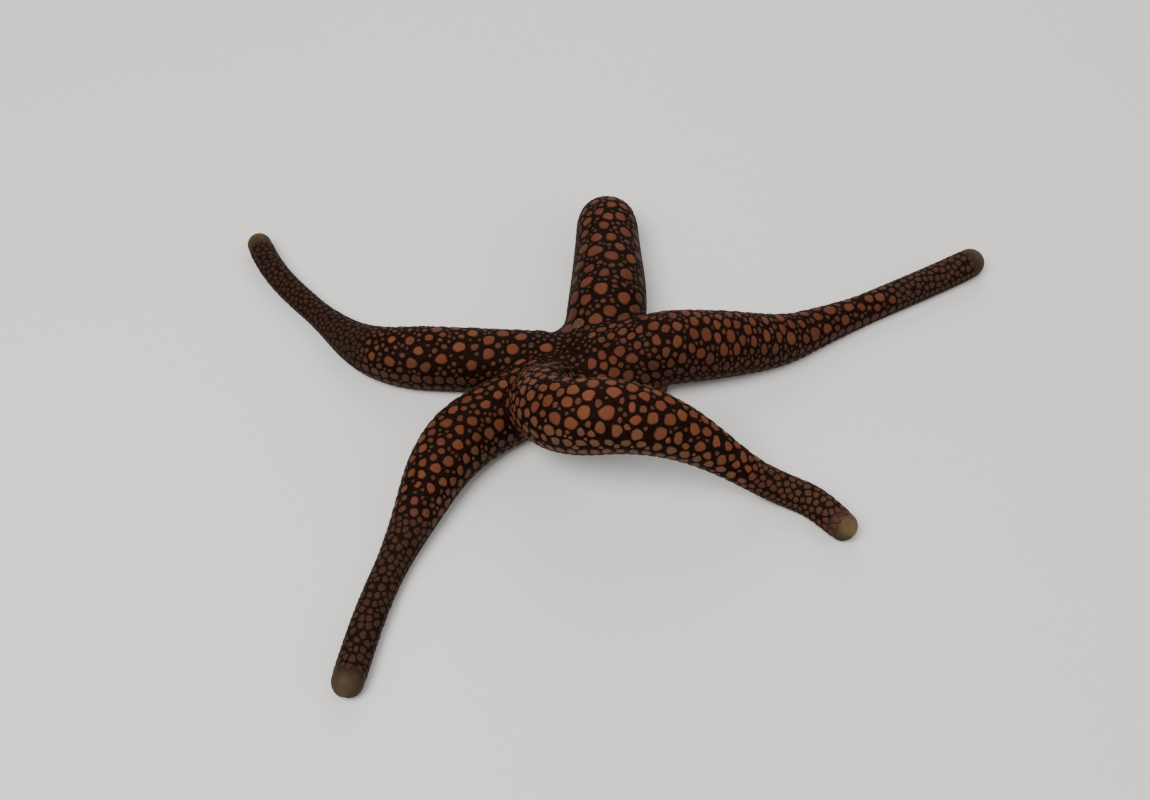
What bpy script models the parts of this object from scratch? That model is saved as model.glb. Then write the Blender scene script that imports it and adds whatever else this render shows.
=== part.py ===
"""A sea star of the genus Nardoa, life size, lying on its soles in the pose of the living animal.

Units are metres, +Z is up and the ground is z = 0. Seen from the front, -Y is near and +X is right.
The disc carries five arms. An arm is a tube carried along a route over the ground: it leaves the middle
of the disc at a heading, turns smoothly in a few places, and rises off the ground where it arches.
Thin cuts square to the route part each arm into lengths. The arm at the back is short and blunt, as one
that lost its end and is growing a new one. The front right arm folds over beside the disc and arches.
"""

import math
from dataclasses import dataclass

import bmesh
import bpy
import numpy as np
from mathutils import Matrix, Vector

# Driving dimensions of the whole star
GAP = 0.0003
DISC_CENTRE = (-0.0033, 0.0122)
DISC_RADIUS = 0.0155
DISC_TOP = 0.0146
DISC_UNDERSIDE = 0.0013
DISC_SEGMENTS = 28
DISC_RINGS = 14
MOUTH_RADIUS = 0.0032
MOUTH_DEPTH = 0.0030
MOUTH_NARROWS_TO = 0.3
MOUTH_SIDES = 20

# Section of an arm, as shares of its width or height
HEIGHT_OF_WIDTH = 0.90
HEIGHT_AT_CENTRE = 0.80
HEIGHT_FULL_AT = 0.016
WAIST_OF_HEIGHT = 0.45
SOLE_OF_WIDTH = 0.55
FURROW_OF_WIDTH = 0.22
FURROW_DEPTH = 0.0012
FURROW_OF_HEIGHT = 0.25
FLANK_TURNS = (-60, -30, 0)
BACK_TURNS = (22.5, 45, 67.5)
RING_STEP = 0.0042
ROUTE_STEP = 0.0002

# The cap that ends an arm
CAP_LENGTH = 0.0055
CAP_RINGS = 4
CAP_POINT = 0.3

# The sieve plate on the disc, between the left and the back arm
SIEVE_RADIUS = 0.0016
SIEVE_SINK = 0.0009
SIEVE_RISE = 0.0004
SIEVE_DISTANCE = 0.0080
SIEVE_SIDES = 14
SIEVE_EDGE = 0.2
SIEVE_SHOULDER = (0.6, 0.8)

# Plates, with their heights and depths as shares of their radius
PLATE_SIDES = 6
PLATE_ROOT = 0.65
PLATE_EDGE = 0.13
PLATE_CREST = 0.36
PLATE_LARGE = (0.00105, 0.00165)
PLATE_SMALL = (0.00060, 0.00078)
BACK_SPACING = 0.0047
END_SPACING = 0.0034
BACK_SPREAD = 66
DOME_SPREAD = 0.85
ROW_ANGLE = 86
ROW_START = 0.012
ROW_PITCH = 0.0049
ROW_TIGHTENS = 0.12
ROW_RADIUS = 0.00105
ROW_ROOM = 2.2
SMALL_OVER = 0.006
CUT_ROOM = 0.00036
END_ROOM = 0.0012
BURIED = 0.5
BURIED_STEP = 0.0015
NEAR_DISC = 0.006
SKIN_STEP = 0.0003
SKIN_TURN = 2
THROW_START = 0.004
ARM_THROWS = 900
DOME_THROWS = 225
PLATE_SEED = 11

SKIN_BROWN = (0.030, 0.012, 0.009)
CAP_OLIVE = (0.075, 0.050, 0.030)
SIEVE_TAN = (0.30, 0.13, 0.07)


@dataclass
class Arm:
    """One arm. Turns are (degrees, where, over what length); the lift is (height, where, reach).

    Cuts part the arm into its lengths, and the first of them stays with the disc. Plates are small from
    small_from on. A shoulder is (where it starts, where it would close, width of the bud that it leaves).
    The root is (share of the full height in the middle of the disc, where the height is full).
    """

    name: str
    heading: float
    turns: tuple
    lift: tuple
    length: float
    root_width: float
    tip_width: float
    taper: tuple
    cuts: tuple
    small_from: float
    parts: tuple = ("root", "middle", "outer")
    shoulder: tuple = ()
    root: tuple = (HEIGHT_AT_CENTRE, HEIGHT_FULL_AT)

    def __post_init__(self):
        """Work out the route once: small steps, each made at its heading."""
        self.steps = np.arange(0.0, self.length + 2 * ROUTE_STEP, ROUTE_STEP)
        heading = self.heading_at(self.steps)
        self.east = np.concatenate(([0.0], np.cumsum(np.cos(heading)[:-1]) * ROUTE_STEP))
        self.north = np.concatenate(([0.0], np.cumsum(np.sin(heading)[:-1]) * ROUTE_STEP))

    def width(self, s):
        """The root's width, easing to the tip's over the taper, and rounded off at a shoulder if any."""
        start, end = self.taper
        across = self.root_width + (self.tip_width - self.root_width) * ease((s - start) / (end - start))
        if self.shoulder:
            start, end, bud = self.shoulder
            past = np.clip((s - start) / (end - start), 0.0, 1.0)
            across = bud + (across - bud) * np.sqrt(1.0 - past * past)
        return across

    def height(self, s):
        """A share of the width, lower inside the disc."""
        low, full_at = self.root
        return HEIGHT_OF_WIDTH * (low + (1.0 - low) * ease(s / full_at)) * self.width(s)

    def heading_at(self, s):
        """The first heading plus each turn made so far, in radians."""
        degrees = self.heading + sum(turn * ease((s - at) / over + 0.5) for turn, at, over in self.turns)
        return np.radians(degrees)

    def sole_at(self, s):
        """How far the sole is off the ground: one smooth hump that dies out at its reach."""
        height, at, reach = self.lift
        inside = np.clip(1.0 - ((s - at) / reach) ** 2, 0.0, None)
        return height * inside ** 2

    def frame(self, s):
        """Sole point, side vector and up vector of the section at the length s along the route."""
        here = float(self.heading_at(s))
        slope = float(self.sole_at(s + ROUTE_STEP) - self.sole_at(s - ROUTE_STEP)) / (2 * ROUTE_STEP)
        east = np.interp(s, self.steps, self.east)
        north = np.interp(s, self.steps, self.north)
        forward = Vector((math.cos(here), math.sin(here), slope)).normalized()
        side = Vector((-math.sin(here), math.cos(here), 0.0))
        return Vector((east, north, float(self.sole_at(s)))), side, forward.cross(side)

    def skin_point(self, s, degrees):
        """A point on the skin, at so many degrees down the left flank from the top of the back."""
        sole, side, up = self.frame(s)
        half = float(self.width(s)) / 2
        height = float(self.height(s))
        waist = WAIST_OF_HEIGHT * height
        turn = math.radians(degrees)
        arch = height - waist if abs(degrees) < 90 else waist
        return sole + side * half * math.sin(turn) + up * (waist + arch * math.cos(turn))


def ease(t):
    """0 before 0, 1 after 1, and a smooth step between."""
    t = np.clip(t, 0.0, 1.0)
    return t * t * (3.0 - 2.0 * t)


ARMS = (
    Arm("arm_left", 177, ((-43, 0.051, 0.028), (-27, 0.094, 0.036)), (0.0, 0.04, 0.02), 0.1036,
        0.0143, 0.0060, (0.0387, 0.0747), (0.028, 0.046, 0.066), 0.052),
    Arm("arm_back", 85, ((5, 0.020, 0.020),), (0.0, 0.04, 0.02), 0.0556,
        0.0184, 0.0146, (0.0113, 0.0493), (0.0175, 0.034), 0.0475,
        ("root", "outer"), (0.0421, 0.0518, 0.0068)),
    Arm("arm_right", 8, ((6, 0.024, 0.016), (14, 0.040, 0.016), (3, 0.090, 0.020)),
        (0.003, 0.014, 0.034), 0.1006, 0.0163, 0.0071, (0.0134, 0.0694), (0.017, 0.040, 0.066), 0.072),
    Arm("arm_front_right", -140, ((134.6, 0.0227, 0.032), (-7.5, 0.051, 0.048), (-34.5, 0.0809, 0.0135)),
        (0.0145, 0.0433, 0.0369), 0.0943, 0.0158, 0.0069, (0.0348, 0.0705), (0.029, 0.048, 0.070), 0.067,
        ("root", "middle", "outer"), (0.078, 0.0969, 0.0048), (0.45, 0.026)),
    Arm("arm_front_left", -148, ((38, 0.038, 0.030), (9, 0.078, 0.030)), (0.0, 0.04, 0.02), 0.100,
        0.0152, 0.0066, (0.034, 0.074), (0.031, 0.050, 0.072), 0.060),
)


def clear_scene():
    """Remove the objects that the file opened with."""
    for thing in list(bpy.data.objects):
        bpy.data.objects.remove(thing, do_unlink=True)


def finish(name, colour, roughness):
    """A Principled material in one colour."""
    material = bpy.data.materials.new(name)
    material.use_nodes = True
    shader = material.node_tree.nodes["Principled BSDF"]
    shader.inputs["Base Color"].default_value = (*colour, 1.0)
    shader.inputs["Roughness"].default_value = roughness
    shader.inputs["Metallic"].default_value = 0.0
    return material


def new_object(name, bm, material=None):
    """Turn a closed bmesh into an object with its faces pointing out."""
    bmesh.ops.recalc_face_normals(bm, faces=bm.faces)
    mesh = bpy.data.meshes.new(name)
    bm.to_mesh(mesh)
    bm.free()
    thing = bpy.data.objects.new(name, mesh)
    bpy.context.scene.collection.objects.link(thing)
    if material:
        mesh.materials.append(material)
    return thing


def section(width, height):
    """Outline of an arm as (across, up) pairs: furrow, flat sole, rounded flank, and arched back."""
    half = width / 2
    waist = WAIST_OF_HEIGHT * height
    sole = SOLE_OF_WIDTH * half
    right = [(FURROW_OF_WIDTH * half, 0.0), (sole, 0.0)]
    for degrees in FLANK_TURNS:
        turn = math.radians(degrees)
        right.append((sole + (half - sole) * math.cos(turn), waist + waist * math.sin(turn)))
    for degrees in BACK_TURNS:
        turn = math.radians(degrees)
        right.append((half * math.cos(turn), waist + (height - waist) * math.sin(turn)))
    left = [(-across, up) for across, up in reversed(right)]
    furrow = min(FURROW_DEPTH, FURROW_OF_HEIGHT * height)
    return [(0.0, furrow), *right, (0.0, height), *left]


def ring(bm, arm, s, scale=1.0):
    """Vertices of one section of an arm, square to its route."""
    sole, side, up = arm.frame(s)
    points = section(float(arm.width(s)) * scale, float(arm.height(s)) * scale)
    return [bm.verts.new(sole + side * across + up * high) for across, high in points]


def join_rings(bm, rings):
    """A skin of quads over a row of rings."""
    for first, second in zip(rings, rings[1:]):
        count = len(first)
        for i in range(count):
            j = (i + 1) % count
            bm.faces.new((first[i], first[j], second[j], second[i]))


def arm_length(arm, start, end):
    """A closed length of an arm between two flat cuts."""
    bm = bmesh.new()
    count = max(2, round((end - start) / RING_STEP))
    rings = [ring(bm, arm, start + (end - start) * i / count) for i in range(count + 1)]
    join_rings(bm, rings)
    bm.faces.new(rings[0])
    bm.faces.new(rings[-1])
    return bm


def arm_cap(arm):
    """The bare rounded cap that ends an arm: a short barrel, then rings that close to a point."""
    bm = bmesh.new()
    start = arm.length - CAP_LENGTH + GAP / 2
    dome = float(arm.width(arm.length)) / 2
    dome_start = arm.length - dome
    rings = [ring(bm, arm, start), ring(bm, arm, (start + dome_start) / 2)]
    for i in range(CAP_RINGS):
        turn = math.pi / 2 * i / CAP_RINGS
        rings.append(ring(bm, arm, dome_start + dome * math.sin(turn), math.cos(turn)))
    join_rings(bm, rings)
    bm.faces.new(rings[0])
    sole, _, up = arm.frame(arm.length)
    tip = bm.verts.new(sole + up * float(arm.height(arm.length)) * CAP_POINT)
    last = rings[-1]
    for i, vertex in enumerate(last):
        bm.faces.new((vertex, last[(i + 1) % len(last)], tip))
    return bm


def disc_dome():
    """The low dome that fills the middle of the star, flat beneath."""
    bm = bmesh.new()
    bmesh.ops.create_uvsphere(bm, u_segments=DISC_SEGMENTS, v_segments=DISC_RINGS, radius=1.0)
    bmesh.ops.scale(bm, vec=(DISC_RADIUS, DISC_RADIUS, DISC_TOP), verts=bm.verts)
    cut = bmesh.ops.bisect_plane(bm, geom=[*bm.verts, *bm.edges, *bm.faces], dist=1e-7,
                                 plane_co=(0, 0, DISC_UNDERSIDE), plane_no=(0, 0, 1), clear_inner=True)
    rim = [edge for edge in cut["geom_cut"] if isinstance(edge, bmesh.types.BMEdge)]
    bmesh.ops.edgeloop_fill(bm, edges=rim)
    return bm


def cylinder(radius, depth, sides, top_radius=None):
    """A closed cylinder or cone about Z, with its middle at the origin."""
    bm = bmesh.new()
    bmesh.ops.create_cone(bm, cap_ends=True, segments=sides, radius1=radius,
                          radius2=radius if top_radius is None else top_radius, depth=depth)
    return bm


def boolean(target, operation, pieces):
    """Unite a node with a set of closed pieces, or cut them from it, and remove the pieces."""
    group = bpy.data.collections.new(f"{target.name}_pieces")
    bpy.context.scene.collection.children.link(group)
    for piece in pieces:
        bpy.context.scene.collection.objects.unlink(piece)
        group.objects.link(piece)
    step = target.modifiers.new(operation.lower(), "BOOLEAN")
    step.operation = operation
    step.solver = "EXACT"
    step.operand_type = "COLLECTION"
    step.collection = group
    shape = bpy.data.meshes.new_from_object(target.evaluated_get(bpy.context.evaluated_depsgraph_get()))
    target.modifiers.remove(step)
    target.data = shape
    for piece in pieces:
        bpy.data.objects.remove(piece, do_unlink=True)
    bpy.data.collections.remove(group)


def keep_largest_shell(thing):
    """Drop every closed surface but the largest, which fills any hollow that joining sealed."""
    bm = bmesh.new()
    bm.from_mesh(thing.data)
    bm.faces.ensure_lookup_table()
    unseen = set(bm.faces)
    shells = []
    while unseen:
        front = [unseen.pop()]
        shell = list(front)
        while front:
            face = front.pop()
            for edge in face.edges:
                for other in edge.link_faces:
                    if other in unseen:
                        unseen.remove(other)
                        front.append(other)
                        shell.append(other)
        shells.append(shell)
    shells.sort(key=lambda shell: sum(face.calc_area() for face in shell))
    loose = [face for shell in shells[:-1] for face in shell]
    bmesh.ops.delete(bm, geom=loose, context="FACES")
    bm.to_mesh(thing.data)
    bm.free()


def sieve_frame():
    """Where the sieve plate sits on the dome, as a matrix whose +Z leaves the surface."""
    left, back = ARMS[0], ARMS[1]
    between = math.radians((left.heading + back.heading) / 2)
    share = SIEVE_DISTANCE / DISC_RADIUS
    height = DISC_TOP * math.sqrt(1.0 - share * share)
    out = Vector((math.cos(between), math.sin(between), 0.0))
    place = out * SIEVE_DISTANCE + Vector((0.0, 0.0, height))
    normal = out * (SIEVE_DISTANCE / DISC_RADIUS ** 2) + Vector((0.0, 0.0, height / DISC_TOP ** 2))
    turn = normal.to_track_quat("Z", "Y").to_matrix().to_4x4()
    return Matrix.Translation(place) @ turn


@dataclass
class Plate:
    """One plate: its middle on the skin, the way out of the skin, the arm's own way, and its radius."""

    place: Vector
    out: Vector
    along: Vector
    radius: float
    arm: Arm = None
    s: float = 0.0


def plate_on_arm(arm, s, degrees, radius):
    """A plate on an arm's skin, square to it."""
    place = arm.skin_point(s, degrees)
    along = arm.skin_point(s + SKIN_STEP, degrees) - place
    around = arm.skin_point(s, degrees + SKIN_TURN) - place
    return Plate(place, around.cross(along).normalized(), along.normalized(), radius, arm, s)


def plate_on_dome(distance, degrees, radius):
    """A plate on the dome in the middle of the star."""
    turn = math.radians(degrees)
    out = Vector((math.cos(turn), math.sin(turn), 0.0))
    height = DISC_TOP * math.sqrt(1.0 - (distance / DISC_RADIUS) ** 2)
    normal = out * (distance / DISC_RADIUS ** 2) + Vector((0.0, 0.0, height / DISC_TOP ** 2))
    return Plate(out * distance + Vector((0.0, 0.0, height)), normal.normalized(), out, radius)


def clear_of_body(plate):
    """True where the plate's place isn't buried in another arm or in the dome."""
    margin = BURIED * plate.radius
    for arm in ARMS:
        if arm is plate.arm:
            continue
        for s in np.arange(0.0, arm.cuts[0] + NEAR_DISC, BURIED_STEP):
            sole, _, up = arm.frame(s)
            height = float(arm.height(s))
            middle = sole + up * height / 2
            if (plate.place - middle).length < float(arm.width(s) + height) / 4 + margin:
                return False
    if plate.arm is None:
        return True
    x, y, z = plate.place
    return (x * x + y * y) / (DISC_RADIUS + margin) ** 2 + z * z / (DISC_TOP + margin) ** 2 > 1.0


def clear_of_cuts(plate):
    """True where the plate lies wholly in one length of its arm, and off the sieve plate's seat."""
    room = plate.radius + CUT_ROOM
    if (plate.place - sieve_frame().translation).length < SIEVE_RADIUS + GAP + room:
        return False
    if plate.arm is None:
        return True
    cuts = (*plate.arm.cuts, plate.arm.length - CAP_LENGTH)
    return all(abs(plate.s - cut) > room for cut in cuts)


def row_plates(arm, sign):
    """The even row of plates along one flank, shifted off the cuts, smaller past the arm's waist."""
    plates = []
    s = ROW_START
    while s < arm.length - CAP_LENGTH - END_ROOM:
        small = ease((s - arm.small_from) / SMALL_OVER + 0.5)
        radius = float(ROW_RADIUS + (PLATE_SMALL[0] - ROW_RADIUS) * small)
        for cut in arm.cuts:
            if abs(s - cut) <= radius + CUT_ROOM:
                s = cut + radius + CUT_ROOM + ROUTE_STEP
        plates.append(plate_on_arm(arm, s, sign * ROW_ANGLE, radius))
        s += ROW_PITCH * float(1.0 - ROW_TIGHTENS * small)
    return plates


def scattered_plate(arm, chance):
    """One throw at an arm's back: large plates near the root, small ones past the arm's waist."""
    s = chance.uniform(THROW_START, arm.length - CAP_LENGTH)
    degrees = chance.uniform(-BACK_SPREAD, BACK_SPREAD)
    sizes = PLATE_SMALL if s > arm.small_from else PLATE_LARGE
    return plate_on_arm(arm, s, degrees, chance.uniform(*sizes))


def lay_plates():
    """All plates: the rows first, then throws at the dome and the backs, kept where there is room."""
    chance = np.random.default_rng(PLATE_SEED)
    plates = []

    def settle(plate, spacing):
        """Keep a plate if it is clear of the body, of the cuts and of its neighbours."""
        if not clear_of_cuts(plate):
            return
        if any((plate.place - other.place).length < spacing for other in plates):
            return
        if clear_of_body(plate):
            plates.append(plate)

    for arm in ARMS:
        for sign in (1, -1):
            for plate in row_plates(arm, sign):
                settle(plate, ROW_ROOM * plate.radius)
    for _ in range(DOME_THROWS):
        distance = DOME_SPREAD * DISC_RADIUS * math.sqrt(chance.uniform())
        settle(plate_on_dome(distance, chance.uniform(0, 360), chance.uniform(*PLATE_LARGE)), BACK_SPACING)
    for arm in ARMS:
        for _ in range(ARM_THROWS):
            plate = scattered_plate(arm, chance)
            settle(plate, END_SPACING if plate.s > arm.small_from else BACK_SPACING)
    return plates


def plate_shape(plate, name):
    """A low six-sided cone on a root that is sunk into the skin."""
    bm = bmesh.new()
    across = plate.out.cross(plate.along)
    rings = []
    for height in (-PLATE_ROOT, PLATE_EDGE):
        middle = plate.place + plate.out * height * plate.radius
        turns = [2 * math.pi * i / PLATE_SIDES for i in range(PLATE_SIDES)]
        rings.append([
            bm.verts.new(middle + (plate.along * math.cos(turn) + across * math.sin(turn)) * plate.radius)
            for turn in turns
        ])
    join_rings(bm, rings)
    bm.faces.new(rings[0])
    crest = bm.verts.new(plate.place + plate.out * PLATE_CREST * plate.radius)
    for i, vertex in enumerate(rings[-1]):
        bm.faces.new((vertex, rings[-1][(i + 1) % PLATE_SIDES], crest))
    return new_object(name, bm)


def raise_plates(node, plates):
    """Fuse its plates to a node of flesh."""
    if plates:
        boolean(node, "UNION", [plate_shape(plate, f"{node.name}_plate_{i}") for i, plate in enumerate(plates)])
        keep_largest_shell(node)


def make_disc(skin):
    """The dome with the roots of the five arms joined to it, the mouth, and the sieve plate's seat."""
    disc = new_object("disc", disc_dome(), skin)
    roots = [new_object(f"{arm.name}_stub", arm_length(arm, 0.0, arm.cuts[0] - GAP / 2)) for arm in ARMS]
    boolean(disc, "UNION", roots)
    funnel = cylinder(MOUTH_RADIUS, 2 * MOUTH_DEPTH, MOUTH_SIDES, MOUTH_NARROWS_TO * MOUTH_RADIUS)
    mouth = new_object("mouth_cutter", funnel)
    seat = new_object("seat_cutter", cylinder(SIEVE_RADIUS + GAP, 2 * (SIEVE_SINK + GAP), SIEVE_SIDES))
    seat.data.transform(sieve_frame())
    boolean(disc, "DIFFERENCE", [mouth, seat])
    keep_largest_shell(disc)
    return disc


def make_sieve_plate(material):
    """A round lens in its seat on the disc, standing a little proud of the skin."""
    bm = bmesh.new()
    rings = []
    inner, high = SIEVE_SHOULDER
    for radius, height in ((1.0, -SIEVE_SINK), (1.0, SIEVE_EDGE * SIEVE_RISE), (inner, high * SIEVE_RISE)):
        rings.append([
            bm.verts.new((radius * SIEVE_RADIUS * math.cos(turn), radius * SIEVE_RADIUS * math.sin(turn), height))
            for turn in (2 * math.pi * i / SIEVE_SIDES for i in range(SIEVE_SIDES))
        ])
    join_rings(bm, rings)
    bm.faces.new(rings[0])
    top = bm.verts.new((0.0, 0.0, SIEVE_RISE))
    for i, vertex in enumerate(rings[-1]):
        bm.faces.new((vertex, rings[-1][(i + 1) % SIEVE_SIDES], top))
    plate = new_object("madreporite", bm, material)
    plate.data.transform(sieve_frame())
    return plate


def make_arm(arm, plates, skin, cap_skin):
    """The lengths of one arm past the disc with their plates, and its cap."""
    ends = (*arm.cuts[1:], arm.length - CAP_LENGTH)
    nodes = []
    for part, start, end in zip(arm.parts, arm.cuts, ends):
        node = new_object(f"{arm.name}_{part}", arm_length(arm, start + GAP / 2, end - GAP / 2), skin)
        raise_plates(node, [plate for plate in plates if plate.arm is arm and start < plate.s < end])
        nodes.append(node)
    nodes.append(new_object(f"{arm.name}_tip", arm_cap(arm), cap_skin))
    return nodes


def main():
    """Build the star, then hang every node on one empty that centres it over the ground."""
    clear_scene()
    skin = finish("star_skin", SKIN_BROWN, 0.7)
    cap_skin = finish("cap_skin", CAP_OLIVE, 0.6)
    sieve = finish("sieve_plate", SIEVE_TAN, 0.7)
    plates = lay_plates()
    disc = make_disc(skin)
    raise_plates(disc, [plate for plate in plates if plate.arm is None or plate.s < plate.arm.cuts[0]])
    nodes = [disc, make_sieve_plate(sieve)]
    for arm in ARMS:
        nodes += make_arm(arm, plates, skin, cap_skin)
    stand = bpy.data.objects.new("sea_star", None)
    bpy.context.scene.collection.objects.link(stand)
    stand.location = (*DISC_CENTRE, 0.0)
    for node in nodes:
        node.parent = stand


main()
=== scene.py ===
"""The finished surface of a life-size Nardoa sea star, laid over the solids of the frame.

The file follows the animal as it is put together: the one skin of the disc and arms, the plates of the back,
the flanks and the sole, the caps that end the arms, the sieve plate, the spines and feet of the furrows, the
mouth, and last the floor, the light and the camera. Lengths are metres.
"""
import math

import bpy
import numpy as np
from mathutils import Matrix, Vector, kdtree


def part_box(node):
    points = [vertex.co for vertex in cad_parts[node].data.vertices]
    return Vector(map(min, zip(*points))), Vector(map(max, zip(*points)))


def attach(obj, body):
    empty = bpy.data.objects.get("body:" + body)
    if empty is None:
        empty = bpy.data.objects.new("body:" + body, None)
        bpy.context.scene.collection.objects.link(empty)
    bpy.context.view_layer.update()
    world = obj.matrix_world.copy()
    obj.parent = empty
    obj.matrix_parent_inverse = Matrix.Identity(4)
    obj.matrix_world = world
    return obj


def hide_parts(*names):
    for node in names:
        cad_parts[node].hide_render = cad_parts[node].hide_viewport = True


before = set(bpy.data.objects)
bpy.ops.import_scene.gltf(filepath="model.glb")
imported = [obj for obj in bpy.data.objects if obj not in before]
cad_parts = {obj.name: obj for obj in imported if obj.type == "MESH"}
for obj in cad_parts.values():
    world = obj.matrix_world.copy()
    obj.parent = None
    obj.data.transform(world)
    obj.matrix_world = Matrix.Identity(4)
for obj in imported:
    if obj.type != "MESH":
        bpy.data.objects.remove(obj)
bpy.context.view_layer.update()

# Skin of the disc and arms
# One wet leathery skin wraps the whole star, tube-shaped along each arm and flat beneath, with a furrow
# under every arm that runs to the mouth. It is cast here as one surface: five tubes melted into a low dome.

HEIGHT_OF_WIDTH = 0.90
HEIGHT_AT_CENTRE = 0.80
HEIGHT_FULL_AT = 0.016
WAIST_OF_HEIGHT = 0.45
SOLE_OF_WIDTH = 0.55
FLAT_ON_GROUND = (0.0, 0.04, 0.02)
FURROW_OF_WIDTH = 0.23
FURROW_AT_CAP = 0.3
FURROW_DEPTH = 0.0017
FURROW_LEAST = 1e-5
FURROW_ENDS = 0.010
CAP_LENGTH = 0.0055
ROUTE_STEP = 0.0002
MARK_STEP = 0.0007
STRETCH_LIMITS = (0.15, 4.0)

DISC_RADIUS = 0.0155
DISC_TOP = 0.0146
DISC_UNDERSIDE = 0.0013
MOUTH_RADIUS = 0.0030
MOUTH_DEPTH = 0.0034
SIEVE_DISTANCE = 0.0080
SIEVE_ANGLE = 131.0
SIEVE_SINK = 0.00041

SKIN_START_ROUND = 0.0026
FAR = 0.004
SKIN_MELT = 0.0016
FURROW_MELT = 0.0003
MOUTH_MELT = 0.0005
NUDGE = 0.00004
SETTLE_STEP = 0.001

ROUGH_ROWS = 120
ROUGH_COLUMNS = 24
ROUGH_SHORT = 0.6
BALL_ROWS = 30
BALL_COLUMNS = 40
BALL_POLES = (2, 178)
SKIN_VOXEL = 0.00052

SKIN_SINK = 0.00005
SKIN_TUCK = 0.00020
TUCK_OVER = 0.001
OUTER_OVER = 0.006
UNDER_OF_HEIGHT = 0.30
WRINKLE_FROM = 0.22
WRINKLE_OVER = 0.45
WRINKLE_PITCH = 0.0013
WRINKLE_DEPTH = 0.00016
WRINKLE_SLANT = 900


def ease(t):
    """0 before 0, 1 after 1, and the smooth step 3t^2 - 2t^3 between."""
    t = np.clip(t, 0.0, 1.0)
    return t * t * (3.0 - 2.0 * t)


def dot(a, b):
    """Row by row dot product of two lists of vectors."""
    return np.einsum("ij,ij->i", a, b)


def unit(a):
    """Each row over its own length."""
    return a / np.maximum(np.linalg.norm(a, axis=1, keepdims=True), 1e-12)


def section_angles(count):
    """So many even angles round a section, in degrees: 0 on top of the back, positive down the left."""
    return np.linspace(-180, 180, count + 1)[:-1]


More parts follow.
